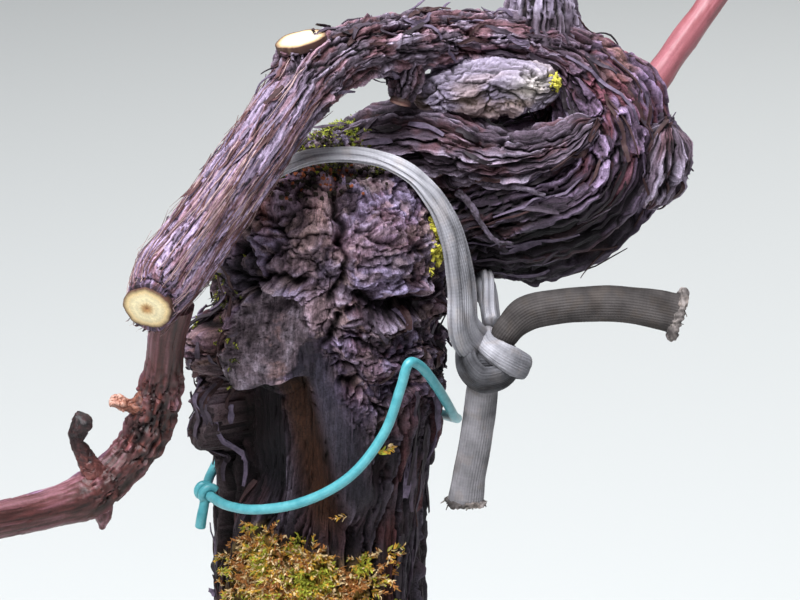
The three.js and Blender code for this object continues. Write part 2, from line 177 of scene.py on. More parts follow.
def drift(p, seed=0):
    """A vector of noise, to bend another pattern with."""
    return np.stack([noise(p, seed + k) for k in (0, 5, 9)], axis=-1)


def torn(field):
    """A saw of the field: each plate rises slowly and ends in a torn edge."""
    return field - np.floor(field)


def soften(h, across, along):
    """The mean of a skin's values over a patch of cells; the first and last column are the same seam."""
    for axis, cells, edge in ((1, across, "wrap"), (0, along, "edge")):
        body = h[:, :-1] if axis == 1 else h
        pad = [(0, 0), (0, 0)]
        pad[axis] = (cells + 1, cells)
        total = np.pad(body, pad, mode=edge).cumsum(axis)
        width = 2 * cells + 1
        if axis == 1:
            body = (total[:, width:] - total[:, :-width]) / width
            h = np.concatenate([body, body[:, :1]], axis=1)
        else:
            h = (total[width:] - total[:-width]) / width
    return h


def ramp(t, *colours):
    """A colour for each t from 0 to 1, through the colours given."""
    place = np.clip(t, 0, 1) * (len(colours) - 1)
    stops = np.arange(len(colours))
    return np.stack([np.interp(place, stops, [c[k] for c in colours]) for k in range(3)], -1)


# Lines and skins

def smooth_line(points, t):
    """Points on the centripetal curve through the given ones; t counts them."""
    points = np.asarray(points, float)
    knots = np.array([2 * points[0] - points[1], *points, 2 * points[-1] - points[-2]])
    k = np.clip(t.astype(int), 0, len(points) - 2)
    w = (t - k)[:, None]
    p0, p1, p2, p3 = (knots[k + j] for j in range(4))
    d0, d1, d2 = (np.sqrt(np.linalg.norm(b - a, axis=1))[:, None] for a, b in ((p0, p1), (p1, p2), (p2, p3)))
    m1 = ((p1 - p0) / d0 - (p2 - p0) / (d0 + d1) + (p2 - p1) / d1) * d1
    m2 = ((p2 - p1) / d1 - (p3 - p1) / (d1 + d2) + (p3 - p2) / d2) * d1
    return p1 + m1 * w + (3 * (p2 - p1) - 2 * m1 - m2) * w ** 2 + (2 * (p1 - p2) + m1 + m2) * w ** 3


class Limb:
    """A line through stations of (x, y, z, radius), with two directions across it all the way along."""

    def __init__(self, stations, across=(0, 1, 0)):
        stations = np.asarray(stations, float)
        t = np.linspace(0, len(stations) - 1, LINE_STEPS * (len(stations) - 1) + 1)
        self.centre = smooth_line(stations[:, :3], t)
        low = np.minimum(t.astype(int), len(stations) - 2)
        self.radius = mix(stations[low, 3], stations[low + 1, 3], smooth(0, 1, t - low))
        self.tangent = unit(np.gradient(self.centre, axis=0))
        steps = np.linalg.norm(np.diff(self.centre, axis=0), axis=1)
        self.run = np.concatenate([[0], steps.cumsum()])
        self.length = self.run[-1]
        self.station_run = self.run[::LINE_STEPS]
        carried = np.array(across, float) if not callable(across) else None
        second = []
        for centre, along in zip(self.centre, self.tangent):
            wanted = carried if carried is not None else np.array(across(centre), float)
            square = unit(wanted - along * wanted.dot(along))
            if carried is not None:
                carried = square
            second.append(square)
        self.second = np.array(second)
        self.first = np.cross(self.tangent, self.second)

    def at(self, run, values):
        if values.ndim == 1:
            return np.interp(run, self.run, values)
        return np.stack([np.interp(run, self.run, values[:, k]) for k in range(3)], -1)

    def wrap(self, turn, run, reach, flatten=1.0):
        """Points at a distance reach from the line; turn and run are grids."""
        rows = run[:, 0]
        centre, first, second = (self.at(rows, v)[:, None, :] for v in (self.centre, self.first, self.second))
        out = first * np.cos(turn)[..., None] + flatten * second * np.sin(turn)[..., None]
        return centre + reach[..., None] * out


def grid(rows, columns, start=0.0, end=1.0):
    """turn and run over a skin, with the seam's column twice."""
    return np.meshgrid(np.linspace(0, TAU, columns + 1), np.linspace(start, end, rows + 1))


def rows_along(length, rows, round_start=0.0, round_end=0.0, open_end=0.0):
    """Where a skin's rows lie along its limb, and how full each is. Ends are lengths in millimetres.

    A round end is a dome, and an open one turns inward."""
    dome = np.linspace(0, math.pi / 2 - 0.05, 10)[1:]
    run = np.linspace(round_start, length - round_end, rows)
    full = np.ones(rows)
    if round_start:
        run = np.concatenate([(round_start * (1 - np.sin(dome)))[::-1], run])
        full = np.concatenate([np.cos(dome)[::-1], full])
    if round_end:
        run = np.concatenate([run, length - round_end * (1 - np.sin(dome))])
        full = np.concatenate([full, np.cos(dome)])
    if open_end:
        run = np.concatenate([run, length + open_end * np.array((0.03, 0.04, 0, -0.3, -0.7, -1))])
        full = np.concatenate([full, (0.96, 0.88, 0.8, 0.76, 0.74, 0.72)])
    return run, full


class Surface:
    """A finished skin's points in rows and columns, for what grows on it."""

    def __init__(self, at, inside):
        self.at = at
        self.calm = np.stack([soften(at[..., k], 3, 3) for k in range(3)], -1)
        across = np.gradient(self.calm, axis=1)
        along = np.gradient(self.calm, axis=0)
        self.column_step = np.maximum(np.linalg.norm(across, axis=-1), LEAST_STEP)
        self.row_step = np.maximum(np.linalg.norm(along, axis=-1), LEAST_STEP)
        out = unit(np.cross(across, along))
        if (out * (at - inside)).sum(-1).mean() < 0:
            out = -out
        self.out = out

    def spots(self, share, count):
        """Rows and columns drawn at random, as likely as share says for each bit of the surface."""
        weight = (share * self.column_step * self.row_step).ravel()
        picked = dice.choice(weight.size, count, p=weight / weight.sum())
        return np.divmod(picked, share.shape[1])

    def sample(self, field, rows, columns):
        """A field's values between the grid's points."""
        rows = np.clip(rows, 0, field.shape[0] - 1.001)
        columns = columns % (field.shape[1] - 1)
        j, i = rows.astype(int), columns.astype(int)
        v, u = (rows - j)[..., None], (columns - i)[..., None]
        low = field[j, i] * (1 - u) + field[j, i + 1] * u
        return low * (1 - v) + (field[j + 1, i] * (1 - u) + field[j + 1, i + 1] * u) * v


def close_ends(at, tint, grain):
    """Adds a pole to each end of a skin, so that it is closed."""
    def pole(row):
        return np.repeat(row[:-1].mean(0)[None, None], len(row), 1)
    at = np.concatenate([pole(at[0]), at, pole(at[-1])])
    tint = np.concatenate([tint[:1], tint, tint[-1:]])
    grain = np.concatenate([grain[:1], grain, grain[-1:]])
    return at, tint, grain


def make_skin(name, at, tint, grain, look, crisp=NO_EDGE):
    """A closed mesh from a skin's points: create_grid makes the faces, and the seam and the poles are merged.

    An edge that bends by more than crisp degrees is shaded sharp."""
    at, tint, grain = close_ends(at, tint, grain)
    rows, columns = at.shape[0] - 1, at.shape[1] - 1
    bm = bmesh.new()
    bmesh.ops.create_grid(bm, x_segments=columns, y_segments=rows, size=0.5)
    mesh = bpy.data.meshes.new(name)
    bm.to_mesh(mesh)
    flat = np.empty(len(mesh.vertices) * 3)
    mesh.vertices.foreach_get("co", flat)
    flat = flat.reshape(-1, 3) + 0.5
    i = np.rint(flat[:, 0] * columns).astype(int)
    j = np.rint(flat[:, 1] * rows).astype(int)
    mesh.vertices.foreach_set("co", (at[j, i] * MM).ravel())
    colour = mesh.attributes.new("tint", "FLOAT_COLOR", "POINT")
    colour.data.foreach_set("color", np.concatenate([tint[j, i], np.ones((len(i), 1))], 1).ravel())
    straight = mesh.attributes.new("grain", "FLOAT_VECTOR", "POINT")
    straight.data.foreach_set("vector", (grain[j, i] * MM).ravel())
    bm.clear()
    bm.from_mesh(mesh)
    rim = [v for v in bm.verts if v.is_boundary]
    bmesh.ops.remove_doubles(bm, verts=rim, dist=1e-7)
    bmesh.ops.recalc_face_normals(bm, faces=bm.faces[:])
    if bm.calc_volume(signed=True) < 0:
        bmesh.ops.reverse_faces(bm, faces=bm.faces[:])
    bm.to_mesh(mesh)
    bm.free()
    mesh.polygons.foreach_set("use_smooth", np.ones(len(mesh.polygons), bool))
    if crisp < NO_EDGE:
        mesh.set_sharp_from_angle(angle=math.radians(crisp))
    return add_piece(name, mesh, look)


def make_many(name, points, look):
    """One mesh of many small closed shapes: points holds each shape's rows of points round it."""
    count, rows, sides, _ = points.shape
    place = np.arange(rows * sides).reshape(rows, sides)
    beside = np.roll(place, -1, axis=1)
    walls = np.stack([place[:-1], beside[:-1], beside[1:], place[1:]], -1).reshape(-1, 4)
    caps = np.stack([place[0, ::-1], place[-1]])
    first, last = points[:, 0].mean(1), points[:, -1].mean(1)
    ring = points[:, rows // 2] - points[:, rows // 2].mean(1, keepdims=True)
    turning = np.cross(ring[:, 0], ring[:, 1])
    backward = (turning * (last - first)).sum(-1) < 0
    points = np.where(backward[:, None, None, None], points[:, :, ::-1], points)
    start = (np.arange(count) * rows * sides)[:, None, None]
    faces = [*(start + walls).reshape(-1, 4).tolist(), *(start + caps).reshape(-1, sides).tolist()]
    mesh = bpy.data.meshes.new(name)
    mesh.from_pydata((points.reshape(-1, 3) * MM).tolist(), [], faces)
    return add_piece(name, mesh, look)


def add_piece(name, mesh, look):
    piece = bpy.data.objects.new(name, mesh)
    mesh.materials.clear()
    mesh.materials.append(look)
    bpy.context.scene.collection.objects.link(piece)
    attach(piece, "root")
    return piece


# Materials

def new_look(name, roughness=0.8, gloss=0.35):
    """A material, its node tree and its shader."""
    look = bpy.data.materials.new(name)
    look.use_nodes = True
    shader = look.node_tree.nodes["Principled BSDF"]
    shader.inputs["Roughness"].default_value = roughness
    shader.inputs["Specular IOR Level"].default_value = gloss
    return look, look.node_tree, shader


def add_node(tree, kind, inputs, operation=None):
    """A shader node: inputs gives each input, by name or number, a value or another node's output."""
    made = tree.nodes.new("ShaderNode" + kind)
    if operation:
        made.operation = operation
    for name, value in inputs.items():
        if isinstance(value, bpy.types.NodeSocket):
            tree.links.new(value, made.inputs[name])
        else:
            made.inputs[name].default_value = value
    return made


def add_noise(tree, vector, scale, detail, roughness):
    inputs = {"Vector": vector, "Scale": scale, "Detail": detail, "Roughness": roughness}
    return add_node(tree, "TexNoise", inputs).outputs["Fac"]


def add_attribute(tree, name, output):
    made = add_node(tree, "Attribute", {})
    made.attribute_name = name
    return made.outputs[output]


def own_place(tree):
    """Each point's place in its own object."""
    return add_node(tree, "TexCoord", {}).outputs["Object"]


def shade_tint(tree, shader, pattern, contrast, low, high):
    """The skin's own colours, lighter and darker as the pattern goes from low to high."""
    span = {"From Min": low, "From Max": high, "To Min": 1 - contrast, "To Max": 1 + contrast}
    strength = add_node(tree, "MapRange", {"Value": pattern, **span}).outputs["Result"]
    tint = add_attribute(tree, "tint", "Color")
    shade = add_node(tree, "VectorMath", {0: tint, "Scale": strength}, "SCALE")
    tree.links.new(shade.outputs["Vector"], shader.inputs["Base Color"])


def two_tones(tree, shader, pattern, places, colours):
    """A base colour that goes from one tone to the other while the pattern is between two places."""
    tones = add_node(tree, "ValToRGB", {"Fac": pattern})
    for stop, place, colour in zip(tones.color_ramp.elements, places, colours):
        stop.position = place
        stop.color = (*colour, 1)
    tree.links.new(tones.outputs["Color"], shader.inputs["Base Color"])


def add_bump(tree, shader, height, strength, distance):
    relief = add_node(tree, "Bump", {"Strength": strength, "Distance": distance * MM, "Height": height})
    tree.links.new(relief.outputs["Normal"], shader.inputs["Normal"])


def bark_look(name, fibre, roughness=0.6, contrast=0.5, bump=0.3, gloss=0.45, stretch=0.16):
    """Fibres along the grain and specks over them: fibre is how many lie side by side in a millimetre."""
    look, tree, shader = new_look(name, roughness, gloss)
    scale = (fibre / MM, fibre / MM, stretch * fibre / MM)
    along = add_node(tree, "Mapping", {"Scale": scale, "Vector": add_attribute(tree, "grain", "Vector")})
    threads = add_noise(tree, along.outputs["Vector"], 1.0, 6.0, 0.65)
    specks = add_noise(tree, own_place(tree), 1.8 / MM, 5.0, 0.75)
    both = add_node(tree, "Math", {0: threads, 1: specks}, "ADD").outputs[0]
    shade_tint(tree, shader, both, contrast, 0.75, 1.25)
    add_bump(tree, shader, both, bump, 0.6)
    return look


def plain_look(name, code, roughness=0.75, grain_size=0.6, contrast=0.35):
    """One base colour, a little lighter and darker in specks, for small loose things."""
    look, tree, shader = new_look(name, roughness, 0.3)
    specks = add_noise(tree, own_place(tree), grain_size / MM, 3.0, 0.6)
    colour = paint(code)
    two_tones(tree, shader, specks, (0.35, 0.65), (colour * (1 - contrast), colour * (1 + contrast)))
    add_bump(tree, shader, specks, 0.3, 0.3)
    return look


def knit_look(name, wales, courses):
    """A knitted tube: ribs of stitches round it and courses along it, as many to a millimetre as given."""
    look, tree, shader = new_look(name, 0.9, 0.2)
    grain = add_attribute(tree, "grain", "Vector")
    apart = add_node(tree, "SeparateXYZ", {"Vector": grain})

    def wave(axis, per_mm):
        angle = add_node(tree, "Math", {0: apart.outputs[axis], 1: TAU * per_mm / MM}, "MULTIPLY")
        return add_node(tree, "Math", {0: angle.outputs[0]}, "SINE").outputs[0]

    stitches = add_node(tree, "Math", {0: wave("Z", courses), 1: 0.35, 2: wave("X", wales)}, "MULTIPLY_ADD")
    fluff = add_noise(tree, grain, 1.4 / MM, 4.0, 0.7)
    cloth = add_node(tree, "Math", {0: fluff, 1: 2.2, 2: stitches.outputs[0]}, "MULTIPLY_ADD").outputs[0]
    shade_tint(tree, shader, cloth, 0.09, -0.3, 2.5)
    add_bump(tree, shader, cloth, 0.3, 0.25)
    return look


def cord_look():
    """Smooth turquoise plastic with a few dull scuffs."""
    look, tree, shader = new_look("cord_plastic", 0.34, 0.5)
    scuffs = add_noise(tree, own_place(tree), 0.3 / MM, 4.0, 0.6)
    two_tones(tree, shader, scuffs, (0.3, 0.7), (paint("3f929c"), paint("64b2ba")))
    add_bump(tree, shader, scuffs, 0.15, 0.2)
    return look


# Bark colours, from the bottom of a crack to the edge of a plate: the darkest is painted shade in the cracks, and
# the palest is dry bark with painted sky light on the edges
DEEP = paint("120d10")
BARK_DARK = paint("352833")
BARK_MID = paint("6b5b6a")
BARK_PALE = paint("b1a2b8")
RED_BARK = paint("8c4c49")
TAN_BARK = paint("a48a84")
DEAD_BROWN = paint("4e3022")
DEAD_BLUE = paint("33303b")


def depth_shade(h, cells, fine, coarse, middle):
    """Light on what stands out and dark in cracks that are some cells wide, round a middle tone.

    fine and coarse are the heights in millimetres that count in full."""
    cavity = (h - soften(h, cells, cells)) / fine
    broad = (h - soften(h, 4 * cells, 4 * cells)) / coarse
    return np.clip(middle + 0.26 * np.clip(cavity, -1.5, 1.5) + 0.24 * np.clip(broad, -1.5, 1.5), 0, 1)


def lit(shade, least, gain):
    """How much light each point keeps: the least in the dark, and more by the gain."""
    return (least + gain * np.clip(shade, 0, 1))[..., None]


def cast(tint, factors, share):
    """The tint with its red, green and blue multiplied, as far as share says."""
    return mix(tint, tint * np.array(factors), share)


def straight_grain(turn, run, radius):
    return np.stack([radius * np.cos(turn), radius * np.sin(turn), run + 0 * turn], -1)


# Trunk

def trunk_centre(z):
    lean = TRUNK_LEAN * smooth(30, 390, z) + 1.2 * np.sin(z / 45)
    return np.stack([lean, 3 * np.sin(z / TRUNK_HEIGHT * math.pi), z], -1)


def stem_radius(z, turn):
    flare = (FOOT_RADIUS - WAIST_RADIUS) * np.exp(-z / FLARE_HEIGHT)
    graft = GRAFT_SWELLING * np.exp(-((z - GRAFT_HEIGHT) / 24) ** 2)
    head = (HEAD_RADIUS - WAIST_RADIUS) * smooth(HEAD_START, HEAD_START + 32, z)
    along = (z + BURIED) / (TRUNK_HEIGHT + BURIED)
    roots = (0.17 * np.exp(-11 * along) + 0.03) * np.cos(ROOT_LOBES * turn - 0.6 - 6 * along)
    folds = 0.03 * np.cos(3 * turn - 2.0 + 1.5 * along)
    ribs = BARK_RIB * (np.cos(9 * turn - 0.3 - 5 * along) + 0.8 * np.cos(7 * turn - 1.9 + 7 * along))
    ribs = ribs * smooth(BARK_RIB_END, BARK_RIB_END - 0.1, along)
    return (WAIST_RADIUS + flare + graft + head) * (1 - roots - folds - ribs)


# Lumps of callus: centre and half-sizes
TRUNK_LUMPS = {
    "right_lobe": ((29.5, -15, 404.5), (16, 15.5, 16.5)),
    "left_lobe": ((0.5, -16, 403), (16, 15, 17.5)),
    "top_ridge": ((15, 4, 413), (21, 22, 11.5)),
    "lower_right_burl": ((27, -24, 376), (8.5, 8, 8)),
    "lip": ((18, -22, 384), (17, 11, 9)),
    "left_burl": ((-14, -15, 375), (7.5, 8, 9)),
    "left_shag": ((-15, -8, 355), (6.5, 8, 13)),
    "right_shag": ((42.5, -3, 355), (4.5, 9, 20)),
    "dry_column": ((22, -20.5, 350), (10.5, 10.5, 27)),
    "wound": ((0, -25, 378), (13, 6.4, 16)),
    "low_scar_left": ((-15, -9, 196), (8, 11, 15)),
    "low_scar_right": ((26, 15, 118), (9, 10, 13)),
}


def trunk_rays(turn, level):
    """Where each ray starts and points: level from the side up to the dome, then over it."""
    z = np.minimum(level, DOME_START)
    lift = np.clip((level - DOME_START) / (0.5 * (DOME_RADIUS + DOME_HEIGHT)), 0, math.pi / 2)
    start = trunk_centre(z)
    ray = np.stack([np.cos(turn) * np.cos(lift), np.sin(turn) * np.cos(lift), np.sin(lift)], -1)
    return start, ray, z, lift


def trunk_reach(turn, level):
    start, ray, z, lift = trunk_rays(turn, level)
    side = stem_radius(z, turn)
    power = 2.6
    dome = ((np.cos(lift) / side) ** power + (np.sin(lift) / DOME_HEIGHT) ** power) ** (-1 / power)
    reaches = [dome]
    for centre, size in TRUNK_LUMPS.values():
        o = (start - centre) / size
        d = ray / size
        a, b, c = (d * d).sum(-1), (d * o).sum(-1), (o * o).sum(-1) - 1
        inner = b * b - a * c
        reaches.append(np.where(inner > 0, (-b + np.sqrt(np.maximum(inner, 0))) / a, 0))
    sharp = 2.2
    top = np.max(reaches, axis=0)
    return start, ray, top + sharp * np.log(sum(np.exp((r - top) / sharp) for r in reaches)) - 0.4


def near(p, centre, size, power=2):
    """1 at a centre, falling away by the sizes."""
    d = (np.abs((p - np.array(centre)) / size) ** power).sum(-1)
    return np.exp(-d)


def line_near(p, points, width):
    """1 on a line through points of (x, z) on the front, falling away over the width."""
    x, z = p[..., 0], p[..., 2]
    nearest = np.full(x.shape, 1e3)
    for (ax, az), (bx, bz) in zip(points, points[1:]):
        t = np.clip(((x - ax) * (bx - ax) + (z - az) * (bz - az)) / ((bx - ax) ** 2 + (bz - az) ** 2), 0, 1)
        nearest = np.minimum(nearest, np.hypot(x - ax - t * (bx - ax), z - az - t * (bz - az)))
    return np.exp(-(nearest / width) ** 2)


GROOVE_DEPTH, RECESS_DEPTH = 7.0, 7.5  # how far the rot has eaten into the trunk, under its bark
UNROLLED_RADIUS = 30  # the bark's pattern is laid out on a straight trunk of this radius

# Deep creases in the callus (and, below nought, its lips): points, width and depth
CREASES = [
    ([(16.5, 425.5), (18.3, 419.0), (17.0, 415.5), (20.5, 411.5), (19.0, 406.6)], 1.0, 3.6),
    ([(18.6, 406.6), (21.2, 402.5), (20.4, 397.0), (16.7, 391.5)], 0.9, 2.6),
    ([(25.0, 392.0), (31.0, 388.4), (43.0, 388.8)], 2.0, 3.4),
    ([(4.5, 416.5), (9.5, 418.5), (14.5, 416.5)], 4.2, -3.4),
    ([(-6.8, 405.3), (-8.5, 400.0), (-6.2, 395.5), (-1.6, 392.9)], 1.3, 3.0),
    ([(1.6, 398.9), (9.5, 396.3)], 1.0, 3.0),
    ([(12.0, 377.0), (17.5, 383.2), (19.2, 387.3)], 1.2, 3.6),
    ([(13.4, 375.6), (18.5, 369.6), (23.0, 367.8)], 1.4, 3.2),
    ([(24.0, 410.5), (31.5, 407.0), (41.0, 403.5)], 0.9, 1.6),
    ([(-15.8, 391.0), (-11.0, 383.0), (-13.5, 373.0)], 1.3, 2.6),
    ([(28.5, 391.8), (34.0, 393.3), (40.5, 392.4)], 1.6, -2.6),
    ([(31.5, 384.0), (37.5, 383.6)], 1.7, -4.0),
    ([(41.0, 388.5), (44.5, 383.5)], 1.5, -3.5),
    ([(1.0, 395.6), (9.0, 393.6)], 1.2, -2.2),
    ([(7.0, 404.6), (12.5, 405.4)], 1.6, -2.0),
]

# Colours that have their place on the callus, and patches of painted light and shade: centre (x, z), size, colour
# and share
CALLUS_PATCHES = [
    ((13.6, 414.0), (3.6, 5.0), "c09a92", 0.75), ((10.0, 405.6), (4.0, 3.0), "b99a98", 0.7),
    ((8.8, 400.5), (6.0, 2.2), "a58890", 0.6), ((14.0, 389.5), (4.5, 6.5), "ac8f95", 0.7),
    # the light patch at (9, 416.5) is painted light, lifting the shadow the band casts there
    ((9.0, 416.5), (7.0, 4.0), "94788a", 0.5), ((0.0, 414.5), (3.0, 3.6), "9a5f4c", 0.6),
    ((27.5, 424.0), (6.0, 3.0), "b9aca8", 0.65),
    ((26.5, 407.5), (8.0, 6.0), "8b7280", 0.5), ((-8.0, 400.0), (9.0, 11.0), "39333f", 0.75),
    # the dark patch at (34, 387) is painted shade, in the hollow under the right lobe
    ((34.0, 387.0), (10.0, 4.0), "2a2226", 0.6), ((33.5, 381.0), (5.0, 1.5), "5d4d49", 0.7),
    ((24.5, 375.0), (6.0, 4.0), "6e5a5c", 0.5), ((-12.5, 380.0), (3.0, 4.0), "7c6a70", 0.6),
    ((34.0, 400.0), (6.0, 5.0), "544a5c", 0.6), ((16.0, 398.5), (2.5, 4.5), "5d5468", 0.7),
]


def trunk_regions(p):
    """How far each point belongs to the callus, the old wound, its rim, and the rotten wood under it."""
    x, z = p[..., 0], p[..., 2]
    front = smooth(2, -12, p[..., 1])
    where = {"front": front, "callus": smooth(348, 366, z + 8 * noise(p / 15, 3)) * mix(0.8, 1, front)}
    slant = (x + 1 - 0.34 * (z - 378)) / 10.5
    span = np.hypot(slant, (z - 379) / 16) + 0.16 * noise(p / 6, 81) + 0.05 * noise(p / 2, 82)
    where["wound"] = smooth(1.02, 0.94, span) * front
    where["rim"] = np.exp(-((span - 1.08) / 0.12) ** 2) * front * (0.55 + 0.45 * noise(p / 7, 83))
    lip = 367 + 0.25 * (x + 3) + 1.4 * noise(p / 5, 84)
    under = smooth(lip + 0.7, lip - 0.9, z) * front
    groove = np.exp(-np.abs((x - 12 + 0.26 * (z - 338)) / 6.4) ** 4)
    where["groove"] = groove * under * smooth(314, 328, z)
    opening = smooth(322, 338, z)
    recess = np.exp(-np.abs((x + 3.5) / 7) ** 4) * opening
    where["recess"] = recess * under * (1 - where["groove"])
    column = np.exp(-np.abs((x - 23 + 0.36 * (z - 338)) / 7.2) ** 4) * opening * smooth(388, 380, z)
    where["column"] = column * front * (1 - where["groove"]) * smooth(-1, 1, 1.5 - where["wound"] * 2)
    where["bare"] = np.maximum.reduce([where["groove"], where["column"], where["recess"]])
    where["swirl"] = near(p, (31, -27, 405), (13, 16, 14)) * front
    return where


def moss_share(p):
    """Where moss covers the trunk: its front, from below the cord down."""
    x, y, z = p[..., 0], p[..., 1], p[..., 2]
    edge = z + 7 * noise(p / 9, 401) + 7 * smooth(4, 20, np.abs(x - 4))
    reach = smooth(323, 316, edge) * smooth(262, 290, z + 10 * noise(p / 12, 403))
    return reach * np.exp(-((x - 10) / 19) ** 6) * smooth(4, -12, y)


def trunk_relief(p, turn, level):
    """Height over the plain trunk at points p of it, and its regions."""
    where = trunk_regions(p)
    bent = p + 4 * drift(p / 16, 40) + 1.0 * drift(p / 4.5, 45) + 0.35 * drift(p / 1.7, 47)
    swell = swellings(bent / (15, 15, 13), 1, 11) * mix(1, 0.5, where["swirl"])
    broad, chance, gap = plates(bent / (8.5, 8.5, 6), 13, 0.1)
    small, small_chance, small_gap = plates(bent / (2.9, 2.9, 2.1), 17, 0.16)
    wrinkles = (1 - np.abs(noise(bent / (3.4, 3.4, 2.6), 33))) ** 2
    wrinkles = wrinkles + 0.5 * (1 - np.abs(noise(bent / 1.5, 34))) ** 2
    centre_distance = np.linalg.norm((p - np.array((30, -30, 409))) * (0.8, 0.6, 1.35), axis=-1)
    rings = torn(centre_distance / 2.9 + 1.0 * noise(p / 8, 23) + 0.35 * noise(p / 2.4, 24))
    crumbs = layers(p / 1.3, 3, 70)
    plate = 1.5 * broad - 1.1 * gap + 0.55 * small - 0.4 * small_gap + 0.85 * wrinkles - 0.7
    swirl = 1.2 * rings + 0.5 * small + 0.3 * wrinkles
    callus = 4.6 * swell + mix(plate, swirl, where["swirl"]) + 0.42 * crumbs
    for points, width, depth in CREASES:
        callus = callus - depth * line_near(p + 0.5 * drift(p / 3, 49), points, width) * where["front"]

    ring = straight_grain(turn, level, UNROLLED_RADIUS)
    wander = ring + np.array((2.2, 2.2, 7)) * drift(ring / (13, 13, 50), 90)
    wander = wander + 0.4 * drift(ring / (1.6, 1.6, 4), 92)
    strips, strip_chance, slits = plates(wander / (5.6, 5.6, 58), 21, 0.12)
    slim, slim_chance, nicks = plates(wander / (2.3, 2.3, 24), 24, 0.2)
    folds = noise(ring / (8, 8, 60), 28)
    fibre = layers(ring / (0.8, 0.8, 9), 2, 26)
    bark = 2.6 * strips - 2.2 * slits + 1.1 * slim - 0.5 * nicks + 0.25 * fibre + 1.2 * folds
    h = mix(bark, callus - 1.0, where["callus"])

    veins = 0.35 * layers(ring / (1.1, 1.1, 26), 3, 61) - 0.7 * crack(ring / (4, 4, 60), 62, 0.04)
    slow = 0.7 * noise(p / 9, 63)
    cracks = crack(p / (5, 5, 8) + 0.2 * drift(p / 3, 66), 65, 0.035)
    dry = 0.25 * crumbs + 0.6 * slow - 0.6 * cracks + 0.35 * small
    h = mix(h, 0.9 + dry, where["wound"])
    h = mix(h, 0.6 + veins + slow, where["bare"])
    h = h + 2.6 * np.clip(where["rim"], 0, 1) * (1 - where["bare"])
    h = h - GROOVE_DEPTH * where["groove"] - RECESS_DEPTH * where["recess"]
    mat = moss_share(p)
    h = mix(h, 0.4 * h + 1.8 + 1.1 * layers(p / 2.4, 4, 409), mat)
    left_bulge = smooth(-8, -13, p[..., 0]) * smooth(290, 310, level) * smooth(356, 342, level)
    h = h + 1.8 * left_bulge
    h = h * (1 - 0.85 * smooth(10, 0, level))  # the foot meets the ground plainly
    chances = mix(strip_chance, chance, where["callus"]), mix(slim_chance, small_chance, where["callus"])
    where.update(chances=chances, crumbs=crumbs)
    return h - 1.2, where


def trunk_tint(p, h, where, cells):
    big, small = where["chances"]
    shade = depth_shade(h, cells, 1.1, 2.6, 0.44) + 0.06 * where["crumbs"]
    shade = shade + 0.16 * (big - 0.5) + 0.1 * (small - 0.5)
    shade = shade + 0.14 * smooth(4, 30, p[..., 0]) * smooth(384, 400, p[..., 2])
    tint = ramp(shade, DEEP, BARK_DARK, BARK_MID, BARK_PALE)
    light = lit(shade, 0.1, 1.1)
    warm = smooth(0.0, 0.5, noise(p / 11, 131) + 0.8 * (small - 0.5))
    tint = mix(tint, 0.3 * tint + 0.65 * RED_BARK * light, 0.45 * warm)
    tan = smooth(0.62, 0.9, small + 0.3 * noise(p / 6 + 7, 137)) * where["callus"]
    tint = mix(tint, TAN_BARK * light, 0.5 * tan)
    bluish = smooth(0.3, 0.7, big) * where["callus"]
    tint = cast(tint, (0.88, 0.88, 1.12), 0.7 * bluish)
    ragged = p + 2.2 * drift(p / 4, 143) + 0.8 * drift(p / 1.3, 145)
    for (x, z), size, code, share in CALLUS_PATCHES:
        patch = near(ragged[..., ::2], (x, z), size) * where["front"] * (1 - where["bare"])
        tint = mix(tint, paint(code) * light * 1.5, share * patch)
    mottle = layers(p / 4, 4, 141) + 0.4 * where["crumbs"]
    wound = ramp(0.5 + 0.5 * mottle, *paints("30272c 6f6068 a293a0"))
    vein = line_near(ragged, [(3.5, 387.0), (2.0, 380.0), (3.0, 372.0)], 1.6)
    wound = mix(wound, paint("8f6250"), 0.5 * vein * smooth(-0.3, 0.3, mottle))
    wound = wound * mix(1, 0.5, smooth(376, 366, p[..., 2] - 0.25 * p[..., 0]))[..., None]
    tint = mix(tint, wound * lit(shade, 0.5, 0.9), 0.92 * where["wound"])
    # the column is darker towards its bottom
    darker_below = mix(1, 0.45, smooth(358, 334, p[..., 2]))[..., None]
    tint = mix(tint, DEAD_BLUE * (0.08 + 1.0 * light) * darker_below, 0.9 * where["column"])
    tint = mix(tint, DEAD_BROWN * (0.12 + 0.9 * light), where["groove"])
    # painted shade: the recess is painted near black, for the shade in the hollow under the lip
    tint = mix(tint, 0.2 * DEAD_BLUE * light, 0.92 * where["recess"])
    low = smooth(372, 345, p[..., 2])
    tint = tint * (1 - 0.78 * low * (1 - where["bare"]))[..., None]
    streaks = low * smooth(24, 34, p[..., 0]) * smooth(0.1, 0.4, big - 0.5 + 0.5 * noise(p / (5, 5, 16), 147))
    tint = mix(tint, 0.45 * RED_BARK * light, 0.6 * streaks * (1 - where["bare"]))
    left = smooth(-4, -12, p[..., 0]) * smooth(396, 384, p[..., 2]) * (1 - where["wound"])
    tint = cast(tint, (0.66, 0.56, 0.46), left)
    tint = cast(tint, (1.9, 1.75, 1.6), smooth(300, 60, p[..., 2]))
    # moss tone: random, and lighter where the mat stands higher, as painted light
    deep = 0.45 + 0.35 * layers(p / 1.6, 3, 411) + 0.12 * h
    mat = ramp(deep, *paints("2a200e 6b5422 a98a3c c9ae62"))
    return mix(tint, mat, 0.92 * moss_share(p))


